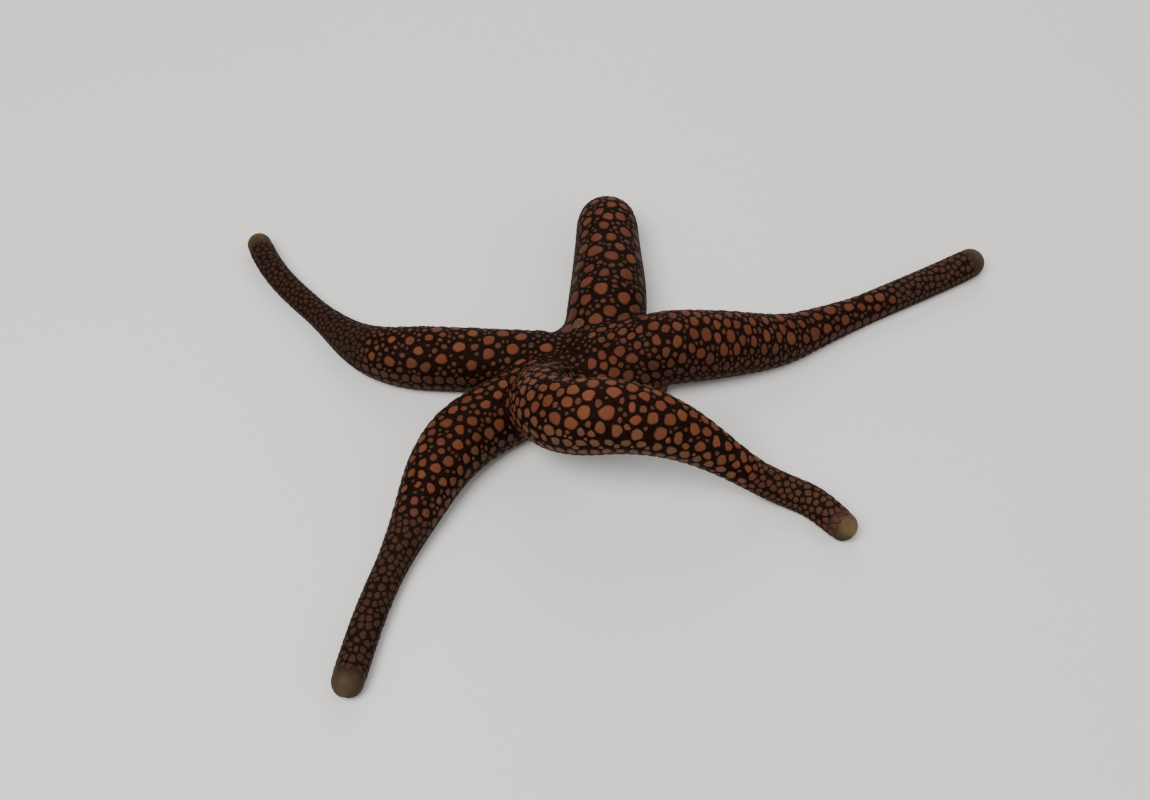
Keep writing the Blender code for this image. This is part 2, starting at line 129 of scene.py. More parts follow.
class Arm:
    """One arm: its route over the ground, its width and height along it, and its skin.

    The heading starts at one angle and adds each turn as a smooth step over a length. The sole rises in one
    hump, height (1 - ((s - at) / reach)^2)^2. The width eases from the root's to the tip's over the taper.
    The root gives the share of its height that an arm has in the middle of the disc, and where it is full.
    Headings and turns are degrees.
    """

    def __init__(self, name, heading, turns, lift, length, widths, taper, small_from, shoulder=None,
                 root=(HEIGHT_AT_CENTRE, HEIGHT_FULL_AT)):
        self.name = name
        self.heading = heading
        self.turns = turns
        self.lift = lift
        self.length = length
        self.widths = widths
        self.taper = taper
        self.small_from = small_from
        self.shoulder = shoulder
        self.root = root
        self.dome = float(self.width(length)) / 2
        self.steps = np.arange(0.0, length + 2 * ROUTE_STEP, ROUTE_STEP)
        angles = self.heading_at(self.steps)
        self.east = np.concatenate(([0.0], np.cumsum(np.cos(angles)[:-1]) * ROUTE_STEP))
        self.north = np.concatenate(([0.0], np.cumsum(np.sin(angles)[:-1]) * ROUTE_STEP))
        self.marks = np.linspace(0.0, length, int(length / MARK_STEP))
        sole, self.sides, up, self.forwards = self.frame(self.marks)
        self.bends = self.bend_at(self.marks)
        self.middles = sole + up * (WAIST_OF_HEIGHT * self.height(self.marks))[:, None]
        self.low = self.middles.min(axis=0) - max(widths) / 2 - FAR
        self.high = self.middles.max(axis=0) + max(widths) / 2 + FAR

    def width(self, s):
        """The root's width easing to the tip's, rounded off as a quarter ellipse at a shoulder if any."""
        start, end = self.taper
        root, tip = self.widths
        across = root + (tip - root) * ease((s - start) / (end - start))
        if self.shoulder:
            start, end, bud = self.shoulder
            past = np.clip((s - start) / (end - start), 0.0, 1.0)
            across = bud + (across - bud) * np.sqrt(1.0 - past * past)
        return across

    def height(self, s):
        """A share of the width, lower inside the disc."""
        low, full_at = self.root
        return HEIGHT_OF_WIDTH * (low + (1.0 - low) * ease(s / full_at)) * self.width(s)

    def furrow_half(self, s):
        """Half the width of the furrow, narrower towards the cap."""
        left = ease((self.length - CAP_LENGTH - s) / FURROW_ENDS)
        return FURROW_OF_WIDTH * self.width(s) / 2 * (FURROW_AT_CAP + (1.0 - FURROW_AT_CAP) * left)

    def furrow_deep(self, s):
        """Depth of the furrow, running out before the cap."""
        return FURROW_DEPTH * ease((self.length - CAP_LENGTH - s) / FURROW_ENDS) + FURROW_LEAST

    def heading_at(self, s):
        """The first heading plus each turn made so far, in radians."""
        turned = sum(turn * ease((s - at) / over + 0.5) for turn, at, over in self.turns)
        return np.radians(self.heading + turned)

    def sole_at(self, s):
        """Height of the sole over the ground."""
        height, at, reach = self.lift
        return height * np.clip(1.0 - ((s - at) / reach) ** 2, 0.0, None) ** 2

    def bend_at(self, s):
        """Turn of the route over length, positive to the left, in radians for each metre."""
        return (self.heading_at(s + ROUTE_STEP) - self.heading_at(s - ROUTE_STEP)) / (2 * ROUTE_STEP)

    def frame(self, s):
        """Sole points, and the side, up and forward vectors of the sections at the lengths s."""
        s = np.atleast_1d(s)
        heading = self.heading_at(s)
        slope = (self.sole_at(s + ROUTE_STEP) - self.sole_at(s - ROUTE_STEP)) / (2 * ROUTE_STEP)
        east, north = (np.interp(s, self.steps, track) for track in (self.east, self.north))
        sole = np.stack((east, north, self.sole_at(s)), axis=1)
        forward = unit(np.stack((np.cos(heading), np.sin(heading), slope), axis=1))
        side = np.stack((-np.sin(heading), np.cos(heading), np.zeros_like(s)), axis=1)
        return sole, side, np.cross(forward, side), forward

    def skin_point(self, s, degrees):
        """Points on the tube's skin, so many degrees down the left flank from the top of the back.

        The section is half an ellipse above the waist, and below it a flat sole between quarter ellipses.
        """
        sole, side, up, _ = self.frame(s)
        half = self.width(s) / 2
        height = self.height(s)
        waist = WAIST_OF_HEIGHT * height
        turn = np.radians(degrees)
        flat = SOLE_OF_WIDTH * half * (np.abs(degrees) > 90) * np.sign(degrees)
        across = flat + (half - np.abs(flat)) * np.sin(turn)
        rise = waist + np.where(np.abs(degrees) < 90, height - waist, waist) * np.cos(turn)
        return sole + side * across[:, None] + up * rise[:, None]

    def place_on(self, points):
        """The length s along the route nearest each point, at most where the rounded end starts.

        It is the mark of the closest sampled middle, plus the way past it over the stretch of the bend.
        """
        far = dot(self.middles, self.middles) - 2.0 * points @ self.middles.T
        best = far.argmin(axis=1)
        apart = points - self.middles[best]
        stretch = np.clip(1.0 - self.bends[best] * dot(apart, self.sides[best]), *STRETCH_LIMITS)
        s = self.marks[best] + dot(apart, self.forwards[best]) / stretch
        return np.clip(s, 0.0, self.length - self.dome)

    def depths(self, points):
        """Signed distances to the tube and its furrow where points are near, and a fixed far one beyond."""
        depths = np.full((2, len(points)), FAR)
        near = np.all((points > self.low) & (points < self.high), axis=1)
        depths[:, near] = np.minimum(self.near_depths(points[near]), FAR)
        return depths

    def near_depths(self, points):
        """Signed distances from the points to the tube and to the furrow beneath it, negative inside.

        The section is the one of skin_point, and past its ends the tube closes as half an ellipsoid. q is 1
        on the skin, and q (q - 1) over its slope is a length. The furrow is an elliptic groove along the
        sole, rounded off behind the mouth.
        """
        s = self.place_on(points)
        sole, side, up, forward = self.frame(s)
        from_sole = points - sole
        x, z, along = np.abs(dot(from_sole, side)), dot(from_sole, up), dot(from_sole, forward)
        half = self.width(s) / 2
        height = self.height(s)
        waist = WAIST_OF_HEIGHT * height
        over = z > waist
        ends = np.where(s <= 0.0, SKIN_START_ROUND, self.dome)
        past = along / ends * ((s <= 0.0) | (s >= self.length - self.dome))
        sole_half = np.where(over, 0.0, SOLE_OF_WIDTH * half)
        wide, tall = half - sole_half, np.where(over, height - waist, waist)
        flat = sole_half * np.sqrt(np.clip(1.0 - past ** 2, 0.0, 1.0))
        x_out = np.maximum(x - flat, 0.0)
        q = np.sqrt((x_out / wide) ** 2 + ((z - waist) / tall) ** 2 + past ** 2)
        slope = np.sqrt((x_out / wide ** 2) ** 2 + ((z - waist) / tall ** 2) ** 2 + (past / ends) ** 2)
        depth = q * (q - 1.0) / np.maximum(slope, 1e-6)
        groove_half, groove_deep = self.furrow_half(s), self.furrow_deep(s)
        behind = along * (s <= 0.0)
        groove = np.sqrt((x / groove_half) ** 2 + (z / groove_deep) ** 2 + (behind / groove_half) ** 2) - 1.0
        return np.array([depth, groove * np.minimum(groove_half, groove_deep)])


def melt(a, b, reach):
    """Smooth least of two distances, or the smooth greatest where the reach is negative.

    The blend is the polynomial one: the least of a and b, less a quarter of the overlap squared over reach.
    """
    sign = math.copysign(1.0, reach)
    reach = abs(reach)
    overlap = np.maximum(reach - np.abs(a - b), 0.0)
    least = np.minimum(sign * a, sign * b) - 0.25 * overlap ** 2 / reach
    return sign * least


ARMS = (
    Arm("arm_left", heading=177, turns=((-43, 0.051, 0.028), (-27, 0.094, 0.036)), lift=FLAT_ON_GROUND,
        length=0.1036, widths=(0.0143, 0.0060), taper=(0.0387, 0.0747), small_from=0.052),
    Arm("arm_back", heading=85, turns=((5, 0.020, 0.020),), lift=FLAT_ON_GROUND,
        length=0.0556, widths=(0.0184, 0.0146), taper=(0.0113, 0.0493), small_from=0.0475,
        shoulder=(0.0421, 0.0518, 0.0068)),
    Arm("arm_right", heading=8, turns=((6, 0.024, 0.016), (14, 0.040, 0.016), (3, 0.090, 0.020)),
        lift=(0.003, 0.014, 0.034), length=0.1006, widths=(0.0163, 0.0071), taper=(0.0134, 0.0694),
        small_from=0.072),
    Arm("arm_front_right", heading=-140,
        turns=((134.6, 0.0227, 0.032), (-7.5, 0.051, 0.048), (-34.5, 0.0809, 0.0135)),
        lift=(0.0145, 0.0433, 0.0369), length=0.0943, widths=(0.0158, 0.0069), taper=(0.0348, 0.0705),
        small_from=0.067, shoulder=(0.078, 0.0969, 0.0048), root=(0.45, 0.026)),
    Arm("arm_front_left", heading=-148, turns=((38, 0.038, 0.030), (9, 0.078, 0.030)), lift=FLAT_ON_GROUND,
        length=0.100, widths=(0.0152, 0.0066), taper=(0.034, 0.074), small_from=0.060),
)


def disc_middle():
    """The middle of the disc on the ground, found from where the frame has the sieve plate."""
    low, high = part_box("madreporite")
    turn = math.radians(SIEVE_ANGLE)
    share = SIEVE_DISTANCE / DISC_RADIUS
    tilt = math.atan2(share / DISC_RADIUS, math.sqrt(1.0 - share * share) / DISC_TOP)
    out = SIEVE_DISTANCE - SIEVE_SINK * math.sin(tilt)
    east = (low[0] + high[0]) / 2 - out * math.cos(turn)
    north = (low[1] + high[1]) / 2 - out * math.sin(turn)
    return np.array([east, north, 0.0])


MIDDLE = disc_middle()


def dome_depth(points):
    """Signed distance to the disc's dome, an ellipsoid flat beneath, with the same q as the tubes."""
    sizes = np.array([DISC_RADIUS, DISC_RADIUS, DISC_TOP])
    q = np.linalg.norm(points / sizes, axis=1)
    slope = np.linalg.norm(points / sizes ** 2, axis=1)
    return np.maximum(q * (q - 1.0) / np.maximum(slope, 1e-6), DISC_UNDERSIDE - points[:, 2])


def arm_depths(points):
    """Signed distances to the five tubes, one row for each arm."""
    return np.array([arm.depths(points)[0] for arm in ARMS])


def star_depth(points):
    """Signed distance to the whole skin: the dome and tubes melted together, less the furrows and mouth."""
    whole = dome_depth(points)
    both = [arm.depths(points) for arm in ARMS]
    for tube, _ in both:
        whole = melt(whole, tube, SKIN_MELT)
    for _, furrow in both:
        whole = melt(whole, -furrow, -FURROW_MELT)
    mouth = np.linalg.norm(points / np.array([MOUTH_RADIUS, MOUTH_RADIUS, MOUTH_DEPTH]), axis=1)
    return melt(whole, (1.0 - mouth) * MOUTH_RADIUS, -MOUTH_MELT)


def star_normal(points):
    """Unit way out of the skin, from differences of the distance over a small step each way."""
    ways = [star_depth(points + step) - star_depth(points - step) for step in np.eye(3) * NUDGE]
    return unit(np.stack(ways, axis=1))


def settle_on_skin(points, rounds=2):
    """Move points along the way out until they lie on the skin, and give the way out there."""
    for _ in range(rounds):
        out = star_normal(points)
        points = points - out * np.clip(star_depth(points), -SETTLE_STEP, SETTLE_STEP)[:, None]
    return points, out


def give_marks(mesh, values):
    """Store values that a finish reads, one for each point of the mesh."""
    for key, each in values.items():
        marks = mesh.attributes.new(key, "FLOAT", "POINT").data
        marks.foreach_set("value", np.asarray(each, dtype=np.float32))


def new_piece(name, points, corners, sizes, values=None, smooth=True):
    """A mesh object from arrays: points, the corner list of all faces, and how many corners each has."""
    mesh = bpy.data.meshes.new(name)
    mesh.vertices.add(len(points))
    mesh.vertices.foreach_set("co", np.asarray(points, dtype=np.float32).ravel())
    mesh.loops.add(len(corners))
    mesh.loops.foreach_set("vertex_index", np.asarray(corners, dtype=np.int32))
    mesh.polygons.add(len(sizes))
    mesh.polygons.foreach_set("loop_start", np.concatenate(([0], np.cumsum(sizes)[:-1])).astype(np.int32))
    mesh.update(calc_edges=True)
    mesh.polygons.foreach_set("use_smooth", np.full(len(sizes), smooth))
    give_marks(mesh, values or {})
    piece = bpy.data.objects.new(name, mesh)
    bpy.context.scene.collection.objects.link(piece)
    return piece


def tube_faces(rows, columns, first=0):
    """Corner list and sizes of the quads over a grid of rows that close round, with both ends filled."""
    row, column = np.meshgrid(np.arange(rows - 1), np.arange(columns), indexing="ij")
    here = row * columns + column
    beside = row * columns + (column + 1) % columns
    quads = np.stack((here, beside, beside + columns, here + columns), axis=-1).reshape(-1, 4)
    ring = np.arange(columns)
    corners = np.concatenate((quads.ravel(), ring[::-1], ring + (rows - 1) * columns)) + first
    return corners, np.append(np.full(len(quads), 4), [columns, columns])


def rough_star():
    """A coarse start for the skin: five closed tubes and a ball in one mesh, then remeshed as voxels."""
    angles = section_angles(ROUGH_COLUMNS)
    parts = []
    for arm in ARMS:
        s = np.linspace(0.0, arm.length - ROUGH_SHORT * arm.dome, ROUGH_ROWS)
        parts.append((arm.skin_point(np.repeat(s, len(angles)), np.tile(angles, len(s))), ROUGH_COLUMNS))
    polar = np.radians(np.linspace(*BALL_POLES, BALL_ROWS))
    turn = np.radians(np.linspace(0, 360, BALL_COLUMNS + 1))[:-1]
    ball = np.stack((np.outer(np.sin(polar), np.cos(turn)), np.outer(np.sin(polar), np.sin(turn)),
                     np.outer(np.cos(polar), np.ones_like(turn))), axis=-1).reshape(-1, 3)
    ball *= np.array([DISC_RADIUS, DISC_RADIUS, DISC_TOP])
    ball[:, 2] = np.maximum(ball[:, 2], DISC_UNDERSIDE)
    parts.append((ball, BALL_COLUMNS))
    corners, sizes, first = [], [], 0
    for points, columns in parts:
        new_corners, new_sizes = tube_faces(len(points) // columns, columns, first)
        corners.append(new_corners)
        sizes.append(new_sizes)
        first += len(points)
    points = np.concatenate([points for points, _ in parts])
    rough = new_piece("rough_star", points, np.concatenate(corners), np.concatenate(sizes))
    remesh = rough.modifiers.new("voxels", "REMESH")
    remesh.mode = "VOXEL"
    remesh.voxel_size = SKIN_VOXEL
    mesh = bpy.data.meshes.new_from_object(rough.evaluated_get(bpy.context.evaluated_depsgraph_get()))
    bpy.data.objects.remove(rough)
    return mesh


def hollow_out(points):
    """Points of the flat underside raised to the roofs of the furrows and of the mouth.

    From there they settle into the hollows. Each roof is an elliptic arch over the width of its hollow.
    """
    raised = points.copy()
    owner = arm_depths(points).argmin(axis=0)
    for index, arm in enumerate(ARMS):
        mine = np.flatnonzero(owner == index)
        s = arm.place_on(points[mine])
        sole, side, up, _ = arm.frame(s)
        across, rise = dot(points[mine] - sole, side), dot(points[mine] - sole, up)
        roof = arm.furrow_deep(s) * np.sqrt(np.clip(1.0 - (across / arm.furrow_half(s)) ** 2, 0.0, 1.0))
        raised[mine] += up * (np.maximum(roof - rise, 0.0) * (rise < FURROW_DEPTH))[:, None]
    x, y, z = points.T
    share = (x ** 2 + y ** 2) / MOUTH_RADIUS ** 2
    roof = MOUTH_DEPTH * np.sqrt(np.clip(1.0 - share, 0.0, 1.0))
    raised[:, 2] = np.where(z < FURROW_DEPTH, np.maximum(raised[:, 2], roof), raised[:, 2])
    return raised


def skin_mesh():
    """The rough star drawn onto the melted skin, with small folds on the inner side of sharp bends.

    It lies a little under the plates and more under the caps. The settled points are given too, for plates.
    """
    mesh = rough_star()
    points = np.empty(len(mesh.vertices) * 3, dtype=np.float32)
    mesh.vertices.foreach_get("co", points)
    spots, out = settle_on_skin(hollow_out(points.reshape(-1, 3).astype(float)), rounds=4)
    owner = arm_depths(spots).argmin(axis=0)
    zone, under, fold, tuck = (np.zeros(len(spots)) for _ in range(4))
    for index, arm in enumerate(ARMS):
        mine = owner == index
        s = arm.place_on(spots[mine])
        sole, side, up, _ = arm.frame(s)
        across = dot(spots[mine] - sole, side)
        rise = dot(spots[mine] - sole, up)
        zone[mine] = ease((s - arm.small_from) / OUTER_OVER + 0.5)
        under[mine] = ease(1.0 - rise / (UNDER_OF_HEIGHT * arm.height(s)))
        tuck[mine] = SKIN_TUCK * ease((s - arm.length + CAP_LENGTH) / TUCK_OVER)
        squeeze = ease((arm.bend_at(s) * across - WRINKLE_FROM) / WRINKLE_OVER)
        wave = np.sin(2 * math.pi * s / WRINKLE_PITCH + WRINKLE_SLANT * across)
        fold[mine] = squeeze * wave * (1 - under[mine])
    points = spots - out * (SKIN_SINK + tuck - WRINKLE_DEPTH * fold)[:, None]
    points[:, 2] = np.maximum(points[:, 2], SKIN_SINK)
    mesh.vertices.foreach_set("co", (points + MIDDLE).astype(np.float32).ravel())
    give_marks(mesh, {"zone": zone, "under": under})
    mesh.polygons.foreach_set("use_smooth", np.ones(len(mesh.polygons), dtype=bool))
    mesh.update()
    return mesh, spots


class Wire:
    """An output socket in a material. Sums and products with it, and a number less it, add Math nodes."""

    def __init__(self, finish, socket):
        self.finish, self.socket = finish, socket

    def reckon(self, operation, *terms):
        """One Math node over the terms."""
        return self.finish.node("ShaderNodeMath", {"operation": operation}, dict(enumerate(terms)))

    def __add__(self, other):
        return self.reckon("ADD", self, other)

    def __rsub__(self, other):
        return self.reckon("SUBTRACT", other, self)

    def __mul__(self, other):
        return self.reckon("MULTIPLY", self, other)

    __radd__ = __add__
    __rmul__ = __mul__


BLACK = (0, 0, 0)
WHITE = (1, 1, 1)


class Finish:
    """A material while it is being made: node() adds one node, sets it, feeds it and hands back a wire."""

    def __init__(self, name, **fixed):
        self.material = bpy.data.materials.new(name)
        self.material.use_nodes = True
        self.tree = self.material.node_tree
        self.shader = self.tree.nodes["Principled BSDF"]
        for socket, value in fixed.items():
            self.shader.inputs[socket.replace("_", " ")].default_value = value

    def node(self, kind, settings=None, feeds=None, out=0):
        """Add a node of this kind. Settings come first, such as a ramp's two stops, then values or wires."""
        node = self.tree.nodes.new(kind)
        for key, value in (settings or {}).items():
            if key == "stops":
                for element, (position, colour) in zip(node.color_ramp.elements, value):
                    element.position = position
                    element.color = (*colour, 1.0)
            else:
                setattr(node, key, value)
        for key, value in (feeds or {}).items():
            self.feed(node.inputs[key], value)
        return Wire(self, node.outputs[out])

    def feed(self, socket, value):
        """Link a wire to an input, or set the input's own value."""
        if isinstance(value, Wire):
            self.tree.links.new(value.socket, socket)
        elif socket.type == "RGBA":
            socket.default_value = (*value, 1.0)
        else:
            socket.default_value = value

    def mix(self, share, low, high):
        """A colour between two, by a share from 0 to 1."""
        return self.node("ShaderNodeMix", {"data_type": "RGBA"}, {0: share, 6: low, 7: high}, out=2)

    def place(self):
        """Object coordinates, in metres."""
        return self.node("ShaderNodeTexCoord", out="Object")

    def own(self, name):
        """A value that the mesh carries at each point."""
        return self.node("ShaderNodeAttribute", {"attribute_name": name}, out="Fac")

    def noise(self, scale, detail=2.0, roughness=0.5):
        """Noise from 0 to 1, so many waves to the metre."""
        feeds = {"Vector": self.place(), "Scale": scale, "Detail": detail, "Roughness": roughness}
        return self.node("ShaderNodeTexNoise", {"noise_dimensions": "3D"}, feeds)

    def grains(self, scale):
        """Distance from the middle of the nearest grain of a random pattern, 0 at its middle."""
        feeds = {"Vector": self.place(), "Scale": scale}
        return self.node("ShaderNodeTexVoronoi", {"feature": "F1"}, feeds, out="Distance")

    def rising(self, share, start, end):
        """0 up to the start, 1 from the end on, and an even rise between."""
        stops = ((start, BLACK), (end, WHITE))
        return self.node("ShaderNodeValToRGB", {"stops": stops}, {"Fac": share}, out="Color")

    def bump(self, height, strength, distance):
        """Small relief from a height."""
        feeds = {"Height": height, "Strength": strength, "Distance": distance}
        return self.node("ShaderNodeBump", feeds=feeds)

    def wear(self, **sockets):
        """Feed the shader's own sockets and give the material."""
        for key, value in sockets.items():
            self.feed(self.shader.inputs[key.replace("_", " ")], value)
        return self.material


SKIN_DARK = (0.0050, 0.0015, 0.0007)
SKIN_GRAIN = (0.0150, 0.0048, 0.0022)
SKIN_FAR = (0.0095, 0.0044, 0.0024)
SKIN_UNDER = (0.080, 0.036, 0.018)
SKIN_CLOUDS = 170.0
SKIN_GRAINS = 5200.0
SKIN_GRIT = 2600.0
SKIN_RELIEF = 0.00012


def skin_finish():
    """Near-black brown skin packed with fine grains, paler beneath, with a damp sheen on the grains."""
    skin = Finish("star_skin", Specular_IOR_Level=0.03, IOR=1.45)
    cloud = skin.noise(SKIN_CLOUDS, 3.0)
    grain = skin.grains(SKIN_GRAINS)
    grit = skin.noise(SKIN_GRIT, 3.0, 0.65)
    colour = skin.mix(skin.rising(grit, 0.42, 0.72), SKIN_DARK, SKIN_GRAIN)
    colour = skin.mix(skin.own("zone") * 0.6, colour, SKIN_FAR)
    under = skin.own("under") * (0.75 + cloud * 0.4)
    colour = skin.mix(under, colour, SKIN_UNDER)
    rough = 0.50 + cloud * 0.22
    relief = (1.0 - grain) * 0.6 + grit * 0.6
    return skin.wear(Base_Color=colour, Roughness=rough, Normal=skin.bump(relief, 0.55, SKIN_RELIEF))


skin_surface, skin_points = skin_mesh()
skin = bpy.data.objects.new("skin", skin_surface)
bpy.context.scene.collection.objects.link(skin)
skin.data.materials.clear()
skin.data.materials.append(skin_finish())
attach(skin, "root")
flesh = [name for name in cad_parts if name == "disc" or name.endswith(("_root", "_middle", "_outer"))]
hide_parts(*flesh)

# Plates of the back, the flanks and the sole
# Limy plates lie in the skin like cobbles: large ones with small ones between them on the back, even rows
# down the flanks, and past the waist of each arm only small close ones. Each is a low dome, rounded off
# where it meets its neighbours, with its edge sunk in the dark skin.

PLATE_SEED = 5
SPOTS = 60000
COAT_ROOM = 24000

# Where the skin is squeezed: the reach and share of a fold between two arms, the most that a bend squeezes,
# and a stretch of the right arm whose plates are narrow, as its share, start and end.
FOLD_REACH = 0.0026
FOLD_SQUEEZE = 0.55
BEND_SQUEEZE = 0.5
NARROW = {"arm_right": (0.36, 0.012, 0.052)}
FOLDED_FROM = 0.10
FOLDED_OVER = 0.40
FOLD_GAP = 0.9
FOLD_DIM = 0.55

# The outline of a plate: its own flats, how uneven they are, and how firmly the edges meet.
EDGE_POWER = 8
PLATE_NEIGHBOURS = 12
LEAST_SHARE = 0.4
PLATE_CORNERS = 5
CORNER_SWAY = 0.30
CORNER_REACH = (0.82, 1.12)
PLATE_LONGER = 0.22

# The rings of a dome, as shares of the outline and of the height.
PLATE_DOME = ((1.05, -0.9), (0.99, 0.10), (0.90, 0.52), (0.60, 0.90))
CHIP_DOME = ((1.08, -1.2), (0.94, 0.40), (0.60, 0.86))

# Grades of plates by least and greatest radius, with the sides and rings of their domes.
PLATE_GRADES = (
    (0.00085, 1.0, 20, PLATE_DOME),
    (0.00048, 0.00085, 14, CHIP_DOME),
    (0.0, 0.00048, 10, CHIP_DOME),
)

# By arm: least and greatest radius of the large plates, then the least and greatest gap round them.
LARGE = {
    "arm_left": (0.00135, 0.00185, 0.0004, 0.0013),
    "arm_back": (0.00150, 0.00200, 0.0003, 0.0009),
    "arm_right": (0.00125, 0.00180, 0.0002, 0.0006),
    "arm_front_right": (0.00120, 0.00160, 0.0002, 0.00045),
    "arm_front_left": (0.00110, 0.00150, 0.0004, 0.0009),
}

# By arm: the same for the small plates between them.
SMALL = {
    "arm_left": (0.00045, 0.00080, 0.00030, 0.00050),
    "arm_back": (0.00045, 0.00082, 0.00025, 0.00045),
    "arm_right": (0.00050, 0.00082, 0.00022, 0.00040),
    "arm_front_right": (0.00062, 0.00098, 0.00018, 0.00032),
    "arm_front_left": (0.00055, 0.00090, 0.00030, 0.00050),
}

# By arm: how bright the plates are, how tan against painted shade the plates low on the flanks are, and how
# warm past the waist.
LOOKS = {
    "arm_left": (1.10, 0.20, 0.00),
    "arm_back": (0.88, 0.08, 0.30),
    "arm_right": (0.86, 0.20, 0.65),
    "arm_front_right": (1.22, 1.00, 1.00),
    "arm_front_left": (1.05, 0.60, 0.30),
}

# By arm: the share of spots tried for chips, the mean radius past the waist, how far the bare end reaches
# from the tip, and how far round the back turns to the lower flank, whose plates take tan and painted shade.
CHIPS = {"arm_left": 0.8, "arm_back": 0.8, "arm_right": 1.0, "arm_front_right": 0.25, "arm_front_left": 0.5}
FAR_RADIUS = {"arm_left": 0.00046, "arm_back": 0.00050, "arm_right": 0.00056, "arm_front_right": 0.00056,
              "arm_front_left": 0.00054}
BARE = {"arm_left": 0.0054, "arm_back": 0.0038, "arm_right": 0.0050, "arm_front_right": 0.0037,
        "arm_front_left": 0.0046}
LOW_START = {"arm_left": 0.44, "arm_back": 0.36, "arm_right": 0.44, "arm_front_right": 0.44,
             "arm_front_left": 0.44}
LOW_OVER = 0.40
END_OVER = 0.005

# Rows along the flanks and the edge of the sole: degrees down from the crest, pitch, radius and size.
FLANK_ROWS = ((84, 0.00250, 0.00100, 0.85), (112, 0.00235, 0.00092, 0.7), (142, 0.0020, 0.00075, 0.6))
ROW_START = 0.006
ROW_SMALLER = 0.38
ROW_SMALLER_OVER = 0.006
ROW_UNEVEN = (0.88, 1.08)
ROW_GAP = 0.00022
ROW_TALL = 0.09
ROW_GROW = 1.12
ROW_INSIDE = 0.0007

# Three large plates on the disc, as x, y and radius from its middle, and a quiet patch with few plates.
DISC_PLATES = ((-0.0125, -0.0005, 0.00165), (-0.0149, -0.0062, 0.0012), (-0.0182, -0.0038, 0.0013))
DISC_PLATES_FROM = 0.011
DISC_PLATES_GAP = 0.0004
DISC_KIND = {"tone": 0.7, "tall": 0.2, "grow": 1.0, "size": 1.0, "end": 0.0, "low": 0.0}
QUIET = (-0.0105, -0.0025, 0.0085)
QUIET_WIDER = 0.0003
QUIET_DIM = 0.40
SIEVE_CLEAR = 0.0019
SIEVE_WAY = math.radians(SIEVE_ANGLE)
SIEVE_PLACE = np.array([math.cos(SIEVE_WAY), math.sin(SIEVE_WAY)]) * SIEVE_DISTANCE

# Plates get smaller towards the waist, and at the roots of two arms, as start and span of the change back.
WAIST_SMALLER = 0.30
WAIST_NEAR = (0.55, 0.45)
FRONT_ROOT = (0.020, 0.014)
FRONT_ROOT_SMALLER = 0.42
FRONT_ROOT_DIM = 0.45
FRONT_ROOT_LOW = 0.5
RIGHT_ROOT = (0.012, 0.010)
RIGHT_ROOT_SMALLER = 0.26

# Thrown kinds: most spots tried, radii, gaps, height for the radius, growth past it, and size for colour.
LARGE_KIND = {"most": 9000, "tall": 0.085, "grow": 1.06}
QUIET_KIND = {"most": 1500, "radii": (0.0009, 0.0013), "gaps": (0.0018, 0.0034), "tall": 0.08, "grow": 1.0,
              "size": 0.60}
SMALL_KIND = {"most": 14000, "tall": 0.10, "grow": 1.12}
SMALL_SIZE = 0.55
FAR_FROM = 0.3
FAR_KIND = {"most": 20000, "radii": (0.84, 1.14), "gaps": (0.00018, 0.00028), "tall": 0.09, "grow": 1.5,
            "size": 0.6}
SOLE_KIND = {"most": 16000, "radii": (0.00050, 0.00070), "gaps": (0.00014, 0.00022), "tall": 0.13,
             "grow": 1.5, "size": 0.5}
CHIP_KIND = {"most": 22000, "radii": (0.00032, 0.00048), "gaps": (0.00018, 0.00030), "tall": 0.11,
             "grow": 1.15, "size": 0.2}

# How far round from the crest each kind reaches: 1 is the waist, 2 the edge of the sole and 3 its middle.
LARGE_TO = 0.86
SMALL_TO = 1.9
FLANKS_TO = 2.2
SOLE_BAND = (2.0, 2.68)
UNDER_FROM = 1.6
UNDER_OVER = 0.5

# The flat map of the skin: the size of a shape's patch, and the length and girth that the map spans.
PATCH = 0.0015
MAP_LENGTH = 0.115
MAP_GIRTH = 6.4

NUMBER = {arm.name: number for number, arm in enumerate(ARMS)}


def by_arm(table, arms):
    """The table's entry for each of a list of arm numbers."""
    return np.array([table[arm.name] for arm in ARMS])[arms]


def full_turn(count):
    """So many even directions round a circle, in radians."""
    return np.linspace(0, 2 * math.pi, count + 1)[:-1]


def girth_at(arm, s, across, rise):
    """How far round an arm's section a point lies, positive on the left.

    It is 0 on the crest, 1 at the waist, 2 where the sole starts and 3 at its middle line, and goes by the
    angle of each quarter ellipse and by the way over the sole.
    """
    half, height = arm.width(s) / 2, arm.height(s)
    waist, flat = WAIST_OF_HEIGHT * height, SOLE_OF_WIDTH * half
    out = np.abs(across)
    upper = np.arctan2(out / half, np.maximum(rise - waist, 0) / (height - waist)) * 2 / math.pi
    lower = 2.0 - np.arctan2(np.maximum(out - flat, 0) / (half - flat), 1 - rise / waist) * 2 / math.pi
    girth = np.where(rise > waist, upper, np.where(out > flat, lower, 3.0 - out / flat))
    return girth * np.sign(across)


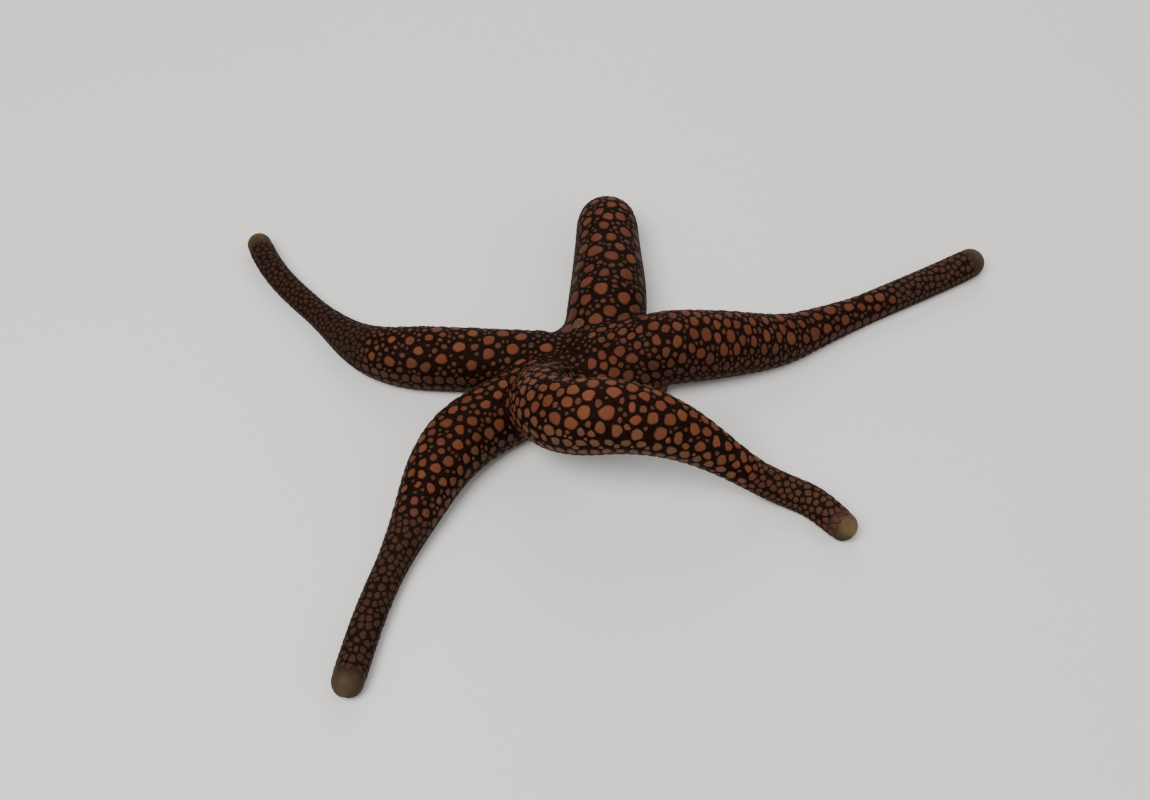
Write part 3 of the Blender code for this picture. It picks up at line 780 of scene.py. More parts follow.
def read_skin(points):
    """Where points of the skin lie, and how the skin is squeezed there, as a dict of columns.

    arm, s and girth give the place. A bend squeezes the skin on its inner side, and a fold between two arms
    squeezes it across the fold. way is the direction of the squeeze, and squeeze its share.
    """
    tubes = arm_depths(points)
    first, second = np.argsort(tubes, axis=0)[:2]
    row = np.arange(len(points))
    slopes = [arm_depths(points + step) - arm_depths(points - step) for step in np.eye(3) * NUDGE]
    slopes = np.stack(slopes, axis=-1)
    fold_way = slopes[first, row] - slopes[second, row]
    fold = ease(1.0 - tubes[second, row] / FOLD_REACH)
    columns = {key: np.zeros(len(points)) for key in ("s", "girth", "squeeze")}
    columns["arm"] = first
    way = np.zeros((len(points), 3))
    for index, arm in enumerate(ARMS):
        mine = np.flatnonzero(first == index)
        s = arm.place_on(points[mine])
        sole, side, up, forward = arm.frame(s)
        across, rise = dot(points[mine] - sole, side), dot(points[mine] - sole, up)
        columns["s"][mine] = s
        columns["girth"][mine] = girth_at(arm, s, across, rise)
        share, start, end = NARROW.get(arm.name, (0.0, 0.0, 1.0))
        bell = np.sin(math.pi * np.clip((s - start) / (end - start), 0, 1)) ** 0.5
        bent = np.clip(1.0 - arm.bend_at(s) * across, BEND_SQUEEZE, 1.0)
        columns["squeeze"][mine] = bent * (1.0 - share * bell)
        way[mine] = forward
    shut = 1.0 - FOLD_SQUEEZE * fold
    folded = shut < columns["squeeze"]
    columns["squeeze"] = np.where(folded, shut, columns["squeeze"])
    columns["way"] = np.where(folded[:, None], fold_way, way)
    return columns


class Coat:
    """The plates laid so far: their places, radii and marks, in columns that fill as the coat grows."""

    def __init__(self, room):
        self.count = 0
        self.place = np.zeros((room, 3))
        self.radius = np.zeros(room)
        self.marks = {}
        self.room = room

    def lay(self, spots, radii, gaps, **marks):
        """Try spots one after another and keep each that clears every plate laid before it.

        Distances are stretched along the way that the skin is squeezed, so squeezed plates lie closer there.
        """
        read = read_skin(spots)
        way, stretch = unit(read["way"]), 1.0 / read["squeeze"] ** 2 - 1.0
        kept = []
        for i in range(len(spots)):
            apart = self.place[:self.count] - spots[i]
            squared = dot(apart, apart) + stretch[i] * (apart @ way[i]) ** 2
            if np.all(squared > (self.radius[:self.count] + radii[i] + gaps[i]) ** 2):
                self.place[self.count] = spots[i]
                self.radius[self.count] = radii[i]
                kept.append(i)
                self.count += 1
        marks = {key: np.broadcast_to(each, len(spots)) for key, each in marks.items()}
        for key, each in {**read, "gap": gaps, **marks}.items():
            whole = self.marks.setdefault(key, np.zeros((self.room, *each.shape[1:])))
            whole[self.count - len(kept):self.count] = each[kept]


def edges(coat, chosen, sides):
    """How far the edge of each chosen plate lies from its middle, in so many directions, and its frame.

    Every neighbour sets a straight limit square to the line to it, at the plate's share of the distance less
    the gap, and the plate has five limits of its own. The edge is the power mean of all the limits, which
    rounds the corners.
    """
    place, radius, marks = coat.place[:coat.count], coat.radius[:coat.count], coat.marks
    tree = kdtree.KDTree(coat.count)
    for index, spot in enumerate(place):
        tree.insert(spot, index)
    tree.balance()
    found = [tree.find_n(place[i], PLATE_NEIGHBOURS + 1)[1:] for i in chosen]
    near = np.array([[index for _, index, _ in beside] for beside in found])
    out = star_normal(place[chosen])
    way = marks["way"][chosen]
    along = unit(way - out * dot(way, out)[:, None])
    across = np.cross(out, along)
    squeeze = marks["squeeze"][chosen][:, None]
    apart = place[near] - place[chosen][:, None]
    a, b = (np.einsum("nkj,nj->nk", apart, axis) for axis in (along, across))
    flat = np.maximum(np.hypot(a, b), 1e-9)
    full = np.linalg.norm(apart, axis=2)
    a, b = a * full / flat / squeeze, b * full / flat
    distance, turn = np.hypot(a, b), np.arctan2(b, a)
    mine = radius[chosen][:, None]
    limit = (distance - marks["gap"][chosen][:, None]) * (mine / (mine + radius[near]))
    limit = np.maximum(limit, LEAST_SHARE * mine)
    directions = full_turn(sides)
    facing = np.maximum(np.cos(directions[None, None] - turn[..., None]), 0.0)
    chance = np.random.default_rng(PLATE_SEED + sides)
    each, every_corner = (len(chosen), 1), (len(chosen), PLATE_CORNERS)
    turned = np.arange(PLATE_CORNERS) + chance.uniform(-CORNER_SWAY, CORNER_SWAY, every_corner)
    turned = (turned + chance.uniform(0, 1, each)) * 2 * math.pi / PLATE_CORNERS
    own = chance.uniform(*CORNER_REACH, every_corner) * (radius[chosen] * marks["grow"][chosen])[:, None]
    long_way = chance.uniform(0, math.pi, each)
    longer = chance.uniform(0.0, PLATE_LONGER, each)
    own = own * (1.0 + longer * np.cos(2 * (turned - long_way)))
    flats = np.maximum(np.cos(directions[None, None] - turned[..., None]), 0.0) / own[..., None]
    sums = ((facing / limit[..., None]) ** EDGE_POWER).sum(axis=1) + (flats ** EDGE_POWER).sum(axis=1)
    return sums ** (-1 / EDGE_POWER), along * squeeze, across


def stack_faces(count, rings, sides):
    """Corner list and sizes for many shapes, each of some rings, a point at the top and a closed foot."""
    ring, side = np.meshgrid(np.arange(rings - 1), np.arange(sides), indexing="ij")
    here, beside = ring * sides + side, ring * sides + (side + 1) % sides
    quads = np.stack((here, beside, beside + sides, here + sides), axis=-1)
    last, round_top = (rings - 1) * sides, np.arange(sides)
    fan = np.stack((last + round_top, last + (round_top + 1) % sides, np.full(sides, last + sides)), axis=1)
    one = np.concatenate((quads.ravel(), fan.ravel(), round_top[::-1]))
    sizes = np.concatenate((np.full((rings - 1) * sides, 4), np.full(sides, 3), [sides]))
    corners = one[None] + (np.arange(count) * (rings * sides + 1))[:, None]
    return corners.ravel(), np.tile(sizes, count)


def patches(arm, s, girth, rings, sides):
    """Map places of many shapes: each a small patch at its place on the skin unrolled, arm beside arm."""
    u, v = s / MAP_LENGTH, (arm + 0.5 + girth / MAP_GIRTH) / len(ARMS)
    turn = np.append(np.tile(full_turn(sides), rings), 0.0)
    reach = PATCH * np.append(np.repeat(1.0 - np.arange(rings) / rings, sides), 0.0)
    places = np.stack((u[:, None] + reach * np.cos(turn), v[:, None] + reach * np.sin(turn)), axis=-1)
    return places.reshape(-1, 2)


def dome_sheet(coat, chosen, sides, rings):
    """Points, faces, marks and map of the chosen plates, each a dome of rings over a closed foot.

    Each ring is the outline times its share, drawn onto the skin and raised by its share of the height.
    """
    edge, along, across = edges(coat, chosen, sides)
    directions = full_turn(sides)
    count, deep = len(chosen), len(rings)
    shares = np.array([share for share, _ in rings] + [0.0])
    rises = np.array([rise for _, rise in rings] + [1.0])
    shape = edge[:, None] * shares[None, :-1, None]
    a = (shape * np.cos(directions)).reshape(count, -1)
    b = (shape * np.sin(directions)).reshape(count, -1)
    a, b = (np.concatenate((each, np.zeros((count, 1))), axis=1) for each in (a, b))
    points = coat.place[chosen][:, None] + along[:, None] * a[..., None] + across[:, None] * b[..., None]
    points, out = settle_on_skin(points.reshape(-1, 3), rounds=1)
    points[:, 2] = np.maximum(points[:, 2], 0.0)
    rise = np.concatenate((np.repeat(rises[:-1], sides), rises[-1:]))
    tall = coat.marks["tall"][chosen] * coat.radius[chosen]
    points = points + out * (tall[:, None] * rise[None]).reshape(-1, 1)
    points[:, 2] = np.maximum(points[:, 2], 0.0)
    corners, sizes = stack_faces(count, deep, sides)
    each = deep * sides + 1
    arms, s, girth = (coat.marks[key][chosen] for key in ("arm", "s", "girth"))
    values = {key: np.repeat(coat.marks[key][chosen], each) for key in ("tone", "size", "end", "low")}
    # Each ring's share of the outline; the finish uses it for painted shade at the plate's edge.
    values["rim"] = np.tile(np.concatenate((np.repeat(shares[:-1], sides), shares[-1:])), count)
    values["under"] = np.repeat(ease((np.abs(girth) - UNDER_FROM) / UNDER_OVER), each)
    looks = by_arm(LOOKS, arms.astype(int))
    values.update({key: np.repeat(looks[:, i], each) for i, key in enumerate(("bright", "tan", "warm"))})
    return points, corners, sizes, values, patches(arms, s, girth, deep, sides)


def join_sheets(name, sheets):
    """One piece of several sheets, set at the middle of the disc, with its flat map."""
    first, corners = 0, []
    for sheet in sheets:
        corners.append(sheet[1] + first)
        first += len(sheet[0])
    corners = np.concatenate(corners)
    points, sizes, map_places = (np.concatenate([sheet[part] for sheet in sheets]) for part in (0, 2, 4))
    values = {key: np.concatenate([sheet[3][key] for sheet in sheets]) for key in sheets[0][3]}
    piece = new_piece(name, points + MIDDLE, corners, sizes, values)
    flat_map = piece.data.uv_layers.new(name="OFBake").data
    flat_map.foreach_set("uv", map_places[corners].astype(np.float32).ravel())
    return piece


def row_spots(arm, degrees, pitch, radius):
    """Spots and radii of one even row along a flank, closer past the arm's waist and inside bends."""
    s, spots, radii = ROW_START, [], []
    sign = math.copysign(1.0, degrees)
    while s < arm.length - BARE[arm.name]:
        small = 1.0 - ROW_SMALLER * ease((s - arm.small_from) / ROW_SMALLER_OVER + 0.5)
        spots.append(arm.skin_point(np.array([s]), np.array([degrees]))[0])
        radii.append(radius * small)
        stretch = 1.0 - float(arm.bend_at(s)) * sign * float(arm.width(s)) / 2
        s += pitch * small / max(stretch, BEND_SQUEEZE)
    spots = np.array(spots)
    outside = star_depth(spots) > -ROW_INSIDE
    return settle_on_skin(spots[outside])[0], np.array(radii)[outside]


def lay_rows(coat, chance):
    """The even rows down both flanks of every arm."""
    for arm in ARMS:
        for sign in (1, -1):
            for degrees, pitch, radius, size in FLANK_ROWS:
                row, radii = row_spots(arm, sign * degrees, pitch, radius)
                tones = chance.uniform(size=len(row))
                radii = radii * chance.uniform(*ROW_UNEVEN, len(row))
                read = read_skin(row)
                coat.lay(row, radii, np.full(len(row), ROW_GAP), tone=tones, tall=ROW_TALL, grow=ROW_GROW,
                         size=size, end=ease((read["s"] - arm.small_from) / END_OVER + 0.5),
                         low=ease((np.abs(read["girth"]) - LOW_START[arm.name]) / LOW_OVER))


def lay_coat():
    """All plates: three listed ones on the disc, then the rows, then thrown ones from large to small."""
    chance = np.random.default_rng(PLATE_SEED)
    coat = Coat(COAT_ROOM)
    spots = skin_points[chance.choice(len(skin_points), min(SPOTS, len(skin_points)), replace=False)]
    spots = spots[np.hypot(spots[:, 0] - SIEVE_PLACE[0], spots[:, 1] - SIEVE_PLACE[1]) > SIEVE_CLEAR]
    read = read_skin(spots)
    arm, s, girth = read["arm"], read["s"], np.abs(read["girth"])
    waists = np.array([each.small_from for each in ARMS])[arm]
    free = s < np.array([each.length for each in ARMS])[arm] - by_arm(BARE, arm)
    end = ease((s - waists) / END_OVER + 0.5)
    folded = ease((1.0 - read["squeeze"] - FOLDED_FROM) / FOLDED_OVER) * (arm != NUMBER["arm_right"])
    front_root = (arm == NUMBER["arm_front_right"]) * (1.0 - ease((s - FRONT_ROOT[0]) / FRONT_ROOT[1]))
    right_root = (arm == NUMBER["arm_right"]) * (1.0 - ease((s - RIGHT_ROOT[0]) / RIGHT_ROOT[1]))
    # low marks plates low on the flanks; the finish gives them a blend of real tan and painted shade.
    low = np.maximum(ease((girth - by_arm(LOW_START, arm)) / LOW_OVER), FRONT_ROOT_LOW * front_root)

    def lay(where, most, radii, gaps, tall, grow, size, times=1.0, wider=0.0):
        """Throw one kind of plate at the free spots, its radii and gaps drawn between their bounds.

        The radii are then scaled and the gaps widened, each by a number or by a value for every spot.
        """
        picked = np.flatnonzero(free & where)[:most]
        bounds = [np.broadcast_to(each, len(spots))[picked] for each in (*radii, *gaps)]
        size, times, wider = (np.broadcast_to(each, len(spots))[picked] for each in (size, times, wider))
        radii = chance.uniform(bounds[0], bounds[1]) * times
        gaps = (chance.uniform(bounds[2], bounds[3]) + wider) * (1.0 + FOLD_GAP * folded[picked])
        coat.lay(spots[picked], radii, gaps, tone=chance.uniform(size=len(picked)), tall=tall, grow=grow,
                 size=size * (1.0 - FOLD_DIM * folded[picked]), end=end[picked], low=low[picked])

    by_hand = np.array([(x, y, DISC_PLATES_FROM) for x, y, _ in DISC_PLATES])
    by_hand = settle_on_skin(by_hand, rounds=6)[0]
    radii = np.array([radius for _, _, radius in DISC_PLATES])
    coat.lay(by_hand, radii, np.full(len(by_hand), DISC_PLATES_GAP), **DISC_KIND)
    lay_rows(coat, chance)
    taper = 1.0 - WAIST_SMALLER * ease((s / waists - WAIST_NEAR[0]) / WAIST_NEAR[1])
    taper = taper * (1.0 - FRONT_ROOT_SMALLER * front_root) * (1.0 - RIGHT_ROOT_SMALLER * right_root)
    large, small = by_arm(LARGE, arm).T, by_arm(SMALL, arm).T
    x, y, reach = QUIET
    quiet = np.hypot(spots[:, 0] - x, spots[:, 1] - y) < reach
    near = end < 0.5
    back = (girth < LARGE_TO) & near
    lay(back & ~quiet, radii=large[:2], gaps=large[2:], size=1.0 - FRONT_ROOT_DIM * front_root, times=taper,
        **LARGE_KIND)
    lay(back & quiet, **QUIET_KIND)
    lay((girth < SMALL_TO) & near, radii=small[:2], gaps=small[2:], size=SMALL_SIZE - QUIET_DIM * quiet,
        wider=QUIET_WIDER * quiet, **SMALL_KIND)
    lay((girth < FLANKS_TO) & (end >= FAR_FROM), times=by_arm(FAR_RADIUS, arm), **FAR_KIND)
    lay((girth >= SOLE_BAND[0]) & (girth < SOLE_BAND[1]), **SOLE_KIND)
    lay((girth < FLANKS_TO) & (chance.uniform(size=len(s)) < by_arm(CHIPS, arm)), **CHIP_KIND)
    return coat


PLATE_RED = (0.076, 0.0190, 0.0076)
PLATE_ORANGE = (0.116, 0.0350, 0.0138)
PLATE_DIM = (0.037, 0.0160, 0.0095)
PLATE_END_DARK = (0.0190, 0.0094, 0.0056)
PLATE_END_WARM = (0.0520, 0.0205, 0.0115)
# The dark brown for plates low on the flanks is painted shade; the tan after it is their own colour.
PLATE_LOW_SHADE = (0.032, 0.0122, 0.0072)
PLATE_TAN = (0.108, 0.0490, 0.0245)
PLATE_UNDER = (0.120, 0.0560, 0.0280)
# The next colour is painted shade on the edge of each plate, and also the real dark of the pits between its
# grains.
PLATE_EDGE_SHADE_AND_PITS = (0.0150, 0.0046, 0.0024)
PLATE_CLOUDS = 420.0
PLATE_GRAINS = 4200.0
PLATE_RELIEF = 0.00008


def plate_finish():
    """Terracotta limy plates: brightest on the back, low down tan and painted shade, dim where small or far
    out.
    """
    plate = Finish("plates", Specular_IOR_Level=0.10, IOR=1.45)
    keys = ("tone", "size", "end", "low", "rim", "bright", "tan", "warm")
    tone, size, end, low, rim, bright, tan, warm = (plate.own(key) for key in keys)
    cloud = plate.noise(PLATE_CLOUDS, 3.0)
    grain = plate.grains(PLATE_GRAINS)
    colour = plate.mix(tone * 0.7 + cloud * 0.3, PLATE_RED, PLATE_ORANGE)
    colour = plate.mix((1.0 - size) * 1.1, colour, PLATE_DIM)
    colour = plate.node("ShaderNodeVectorMath", {"operation": "SCALE"}, {0: colour, "Scale": bright})
    # Plates low on the flanks: painted shade, blended by arm with their real tan.
    colour = plate.mix(low * 0.85, colour, plate.mix(tan, PLATE_LOW_SHADE, PLATE_TAN))
    colour = plate.mix(end * 0.88, colour, plate.mix(warm, PLATE_END_DARK, PLATE_END_WARM))
    colour = plate.mix(plate.own("under") * 0.9, colour, PLATE_UNDER)
    # Painted shade on the outer rings of each plate, where it dips into the skin.
    colour = plate.mix(plate.rising(rim, 0.80, 1.0) * 0.75, colour, PLATE_EDGE_SHADE_AND_PITS)
    colour = plate.mix(plate.rising(grain, 0.30, 0.85) * 0.35, colour, PLATE_EDGE_SHADE_AND_PITS)
    relief = plate.bump(1.0 - grain, 0.35, PLATE_RELIEF)
    return plate.wear(Base_Color=colour, Roughness=0.50 + cloud * 0.2, Normal=relief)


coat = lay_coat()
plate_look = plate_finish()
plate_radii = coat.radius[:coat.count]
for index, arm in enumerate(ARMS):
    own = coat.marks["arm"][:coat.count] == index
    sheets = []
    for least, most, sides, rings in PLATE_GRADES:
        chosen = np.flatnonzero(own & (plate_radii >= least) & (plate_radii < most))
        sheets.append(dome_sheet(coat, chosen, sides, rings))
    plates = join_sheets(f"plates_{arm.name}", sheets)
    plates.data.materials.append(plate_look)
    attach(plates, "root")

# Caps of the arm tips
# One bare rounded plate ends each arm. It is smooth, rests on the ground like a toe, and its colour goes
# from near-black at its edge to a dull olive on top. It slips over the end of the skin.

CAP_TUCK = 0.0007
CAP_INSET = 0.00007
CAP_SINK = 0.00020
CAP_STRAIGHT_ROWS = 8
CAP_ROUND_ROWS = 18
CAP_COLUMNS = 40
CAP_POINT = 0.002
CAP_HEART = 0.42
CAP_BROWN = (0.0150, 0.0072, 0.0038)
CAP_OLIVE = (0.0370, 0.0240, 0.0120)
CAP_PALE = (0.1350, 0.0880, 0.0360)
CAP_LIGHT = {"arm_left": 0.70, "arm_back": 0.10, "arm_right": 0.55, "arm_front_right": 1.0,
             "arm_front_left": 0.3}
CAP_CLOUDS = 650.0
CAP_GRAINS = 6500.0
CAP_RELIEF = 0.00006


def cap_piece(arm):
    """A cap: sections of the tube, the last shrunk as a quarter circle to a point, drawn onto the skin."""
    barrel = arm.length - CAP_LENGTH
    turn = np.linspace(0, math.pi / 2, CAP_ROUND_ROWS)
    straight = np.linspace(barrel - CAP_TUCK, arm.length - arm.dome, CAP_STRAIGHT_ROWS + 1)[:-1]
    s = np.concatenate((straight, arm.length - arm.dome + arm.dome * np.sin(turn)))
    scale = np.maximum(np.concatenate((np.ones(CAP_STRAIGHT_ROWS), np.cos(turn))), CAP_POINT)
    angles = section_angles(CAP_COLUMNS)
    grid = arm.skin_point(np.repeat(s, CAP_COLUMNS), np.tile(angles, len(s)))
    grid = grid.reshape(len(s), CAP_COLUMNS, 3)
    sole, _, up, _ = arm.frame(s)
    heart = sole + up * (CAP_HEART * arm.height(s))[:, None]
    grid = heart[:, None] + (grid - heart[:, None]) * scale[:, None, None]
    points, way = settle_on_skin(grid.reshape(-1, 3), rounds=3)
    sink = CAP_INSET + CAP_SINK * ease((barrel - s) / CAP_TUCK)
    points = points - way * np.repeat(sink, CAP_COLUMNS)[:, None] + MIDDLE
    points[:, 2] = np.maximum(points[:, 2], 0.0)
    corners, sizes = tube_faces(len(s), CAP_COLUMNS)
    out = np.repeat((s - barrel) / CAP_LENGTH, CAP_COLUMNS)
    top = np.cos(np.radians(np.tile(angles, len(s)))) * 0.5 + 0.5
    values = {"out": out, "top": top, "light": np.full(len(out), CAP_LIGHT[arm.name])}
    return new_piece(f"cap_{arm.name}", points, corners, sizes, values)


def cap_finish():
    """Smooth olive-brown skin over a plate, dark all round and paler on its top, with fine pits."""
    cap = Finish("caps", Specular_IOR_Level=0.12, IOR=1.45)
    cloud = cap.noise(CAP_CLOUDS, 4.0, 0.6)
    grain = cap.grains(CAP_GRAINS)
    colour = cap.mix(cap.own("light") * (0.6 + cloud * 0.8), CAP_OLIVE, CAP_PALE)
    crown = cap.rising(cap.own("out") * 0.7 + cloud * 0.35, 0.20, 0.85)
    bright = crown * cap.rising(cap.own("top"), 0.35, 1.0)
    colour = cap.mix(bright, CAP_BROWN, colour)
    colour = cap.mix(cap.rising(grain, 0.25, 0.80) * 0.4, colour, CAP_BROWN)
    relief = cap.bump(1.0 - grain, 0.3, CAP_RELIEF)
    return cap.wear(Base_Color=colour, Roughness=0.45 + cloud * 0.25, Normal=relief)


cap_look = cap_finish()
for arm in ARMS:
    cap = cap_piece(arm)
    cap.data.materials.append(cap_look)
    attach(cap, "root")
    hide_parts(f"{arm.name}_tip")

# Sieve plate
# A small round limy button on the disc, between the left arm and the back one, lets water in to the feet.
# Its top is cut by narrow winding grooves, and its edge is sunk in the skin.

SIEVE_RADIUS = 0.0016
SIEVE_RISE = 0.00036
SIEVE_EDGE = 1.12
SIEVE_EDGE_SINK = 0.0003
SIEVE_POINT = 0.004
SIEVE_SQUARE = 3.2
SIEVE_ROWS = 22
SIEVE_COLUMNS = 72
GROOVE_DEPTH = 0.00010
GROOVE_FROM = 0.35
GROOVE_OVER = 0.5
GROOVE_HEART = 0.25
GROOVE_INNER = 0.55
GROOVE_OUTER = 0.97
SIEVE_BROWN = (0.0950, 0.0400, 0.0220)
SIEVE_GROOVE = (0.0160, 0.0058, 0.0034)
SIEVE_CLOUDS = 2200.0
SIEVE_RELIEF = 0.00005


def sieve_piece():
    """A low button over the skin: its height is a rounded step of the radius, less the winding grooves.

    The grooves are the crests of two waves: one runs round the button and wavers with the radius, and one
    runs out from its middle and wavers with the angle.
    """
    share = np.linspace(SIEVE_EDGE, 0.0, SIEVE_ROWS)
    share, turn = (each.ravel() for each in np.meshgrid(share, full_turn(SIEVE_COLUMNS), indexing="ij"))
    share = np.maximum(share, SIEVE_POINT)
    x, y = share * SIEVE_RADIUS * np.cos(turn), share * SIEVE_RADIUS * np.sin(turn)
    top = DISC_TOP * math.sqrt(1.0 - (SIEVE_DISTANCE / DISC_RADIUS) ** 2)
    points = np.stack((SIEVE_PLACE[0] + x, SIEVE_PLACE[1] + y, np.full(len(x), top)), axis=1)
    points, out = settle_on_skin(points, rounds=3)
    wave = np.cos(9 * turn + 3.5 * np.sin(5.0 * share + 1.0) + 1.5 * np.sin(2 * turn))
    wave = wave * ease(share / GROOVE_HEART)
    wave = np.maximum(wave, np.cos(14.0 * share + 2.0 * np.sin(3 * turn)) * (share < GROOVE_INNER))
    groove = ease((wave - GROOVE_FROM) / GROOVE_OVER) * (share < GROOVE_OUTER)
    rise = SIEVE_RISE * np.sqrt(np.clip(1.0 - share ** SIEVE_SQUARE, 0, 1))
    rise = rise - SIEVE_EDGE_SINK * (share > 1.0) - GROOVE_DEPTH * groove
    points = points + out * rise[:, None] + MIDDLE
    corners, sizes = tube_faces(SIEVE_ROWS, SIEVE_COLUMNS)
    return new_piece("sieve_plate", points, corners, sizes, {"groove": groove})


def sieve_finish():
    """Chalky brown lime with dark grooves."""
    sieve = Finish("sieve", Specular_IOR_Level=0.2, IOR=1.5)
    cloud = sieve.noise(SIEVE_CLOUDS, 3.0)
    lime = sieve.mix(cloud * 0.6, SIEVE_BROWN, CAP_OLIVE)
    colour = sieve.mix(sieve.own("groove") * 0.9, lime, SIEVE_GROOVE)
    relief = sieve.bump(cloud, 0.3, SIEVE_RELIEF)
    return sieve.wear(Base_Color=colour, Roughness=0.65 + cloud * 0.2, Normal=relief)


sieve_plate = sieve_piece()
sieve_plate.data.materials.append(sieve_finish())
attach(sieve_plate, "root")
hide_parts("madreporite")

# Spines and feet of the furrows
# A furrow runs beneath each arm from the mouth to the cap. Blunt limy spines lean in over it from both
# edges, with a row of shorter thicker knobs behind them, and between them hang two rows of soft feet with
# suckers.

FURROW_START = 0.0046
FURROW_STOP = 0.0012
PEG_SIDES = 8
PEG_ROOTED = 0.00008
PEG_OPEN = 0.00005
PEG_GIRTH = 2.8
SPINE_PITCH = 0.00095
SPINE_RADIUS = 0.00019
SPINE_ASIDE = 0.00018
SPINE_ROOT = 0.00036
SPINE_LEAN = 0.00085
SPINE_UNEVEN = (0.85, 1.1)
SPINE_DROP = 0.00010
KNOB_START = 0.0004
KNOB_PITCH = 0.00130
KNOB_RADIUS = 0.00030
KNOB_ASIDE = 0.00048
KNOB_ROOT = 0.00042
KNOB_LEAN = 0.3
FOOT_STOP = 0.004
FOOT_STAGGER = 0.25
FOOT_PITCH = 0.00150
FOOT_RADIUS = 0.00036
FOOT_ASIDE = 0.42
FOOT_ROOT = 0.0017
FOOT_LEAN = (-0.0001, 0.0002)
FOOT_DROP = (0.0008, 0.0012)
SPINE_SHAPE = ((0.0, 0.95), (0.5, 1.0), (0.82, 0.82), (0.97, 0.42))
FOOT_SHAPE = ((0.0, 0.85), (0.55, 0.72), (0.72, 1.15), (0.96, 1.22), (1.0, 0.85))
FOOT_CUP = 0.90
SPINE_TAN = (0.165, 0.0850, 0.0420)
SPINE_PALE = (0.260, 0.1600, 0.0900)
FOOT_CREAM = (0.240, 0.1500, 0.0850)
FOOT_BROWN = (0.100, 0.0480, 0.0270)
PEG_CLOUDS = 900.0


def pegs(feet, tips, aside, radius, shape, point=1.0):
    """Points and shares of many round pegs, from their feet to their tips.

    The shape lists rings as shares of the length and of the radius, and the point closes the tip.
    """
    turn = full_turn(PEG_SIDES)
    length = tips - feet
    other = unit(np.cross(length, aside))
    round_way = aside[:, None] * np.cos(turn)[:, None] + other[:, None] * np.sin(turn)[:, None]
    rings = [feet[:, None] + length[:, None] * share + round_way * radius * wide for share, wide in shape]
    points = np.concatenate([*rings, (feet + length * point)[:, None]], axis=1)
    out = np.append(np.repeat([share for share, _ in shape], PEG_SIDES), point)
    return points.reshape(-1, 3), np.tile(out, len(feet))


def furrow_row(index, s, across, rise, lean, drop, radius, shape, point=1.0):
    """A sheet of pegs along one side of an arm's furrow: those rooted in the skin and open at their tips.

    A peg stands so far across the sole and over it, and its tip lies so far aside of its foot and below it.
    """
    arm = ARMS[index]
    given = (across, rise, lean, drop)
    across, rise, lean, drop = (np.broadcast_to(each, len(s))[:, None] for each in given)
    sole, side, up, forward = arm.frame(s)
    feet = sole + side * across + up * rise
    tips = feet + side * lean - up * drop
    keep = (star_depth(feet) < -PEG_ROOTED) & (star_depth(tips) > PEG_OPEN)
    points, out = pegs(feet[keep], tips[keep], forward[keep], radius, shape, point)
    points[:, 2] = np.maximum(points[:, 2], 0.0)
    count = int(keep.sum())
    corners, sizes = stack_faces(count, len(shape), PEG_SIDES)
    girth = np.sign(across[keep, 0]) * PEG_GIRTH
    map_places = patches(np.full(count, index), s[keep], girth, len(shape), PEG_SIDES)
    return points, corners, sizes, {"out": out}, map_places


def furrow_sheets(index):
    """Sheets of the spines and knobs, and of the feet, of one arm."""
    arm = ARMS[index]
    last = arm.length - CAP_LENGTH - FURROW_STOP
    chance = np.random.default_rng(PLATE_SEED + index)
    hard, soft = [], []
    for sign in (1.0, -1.0):
        s = np.arange(FURROW_START, last, SPINE_PITCH)
        edge = arm.furrow_half(s)
        lean = -sign * SPINE_LEAN * chance.uniform(*SPINE_UNEVEN, len(s)) * edge / edge.max()
        hard.append(furrow_row(index, s, sign * (edge + SPINE_ASIDE), SPINE_ROOT, lean, SPINE_DROP,
                               SPINE_RADIUS, SPINE_SHAPE))
        s = np.arange(FURROW_START + KNOB_START, last, KNOB_PITCH)
        across = sign * (arm.furrow_half(s) + KNOB_ASIDE)
        hard.append(furrow_row(index, s, across, KNOB_ROOT, -sign * KNOB_LEAN * KNOB_ROOT, KNOB_ROOT,
                               KNOB_RADIUS, SPINE_SHAPE))
        start = FURROW_START + (FOOT_STAGGER + FOOT_STAGGER * sign) * FOOT_PITCH
        s = np.arange(start, last - FOOT_STOP, FOOT_PITCH)
        across = sign * FOOT_ASIDE * arm.furrow_half(s)
        lean = sign * chance.uniform(*FOOT_LEAN, len(s))
        drop = chance.uniform(*FOOT_DROP, len(s))
        soft.append(furrow_row(index, s, across, FOOT_ROOT, lean, drop, FOOT_RADIUS, FOOT_SHAPE, FOOT_CUP))
    return hard, soft


def peg_finish(name, low, high, shine):
    """Pale limy or fleshy matter, browner at the foot of each peg."""
    peg = Finish(name, Specular_IOR_Level=shine, IOR=1.45)
    cloud = peg.noise(PEG_CLOUDS, 2.0)
    colour = peg.mix(peg.own("out") * 0.7 + cloud * 0.3, low, high)
    return peg.wear(Base_Color=colour, Roughness=0.45 + cloud * 0.2)


spine_look = peg_finish("spines", SPINE_TAN, SPINE_PALE, 0.2)
foot_look = peg_finish("feet", FOOT_BROWN, FOOT_CREAM, 0.4)
for index, arm in enumerate(ARMS):
    hard, soft = furrow_sheets(index)
    for name, sheets, look in (("spines", hard, spine_look), ("feet", soft, foot_look)):
        row = join_sheets(f"{name}_{arm.name}", sheets)
        row.data.materials.append(look)
        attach(row, "root")

# Mouth
# The mouth is a soft round pit in the middle beneath, where the furrows meet. Five jaws close on it, one
# between every two furrows, each a pair of limy plates with three blunt spines at its point.

JAW_OUTER = 0.0044
JAW_INNER = 0.0013
JAW_RADIUS = 0.00062
JAW_APART = 0.00058
JAW_SPREAD = (1.5, 0.45)
JAW_SHAPE = ((0.0, 0.75), (0.35, 1.0), (0.75, 0.70), (0.96, 0.35))
JAW_SPINE = 0.00085
JAW_SPINE_ROOT = 0.0002
JAW_SPINE_SPREAD = 0.5
JAW_HEIGHT = 0.00042
JAW_STEP = 0.00003


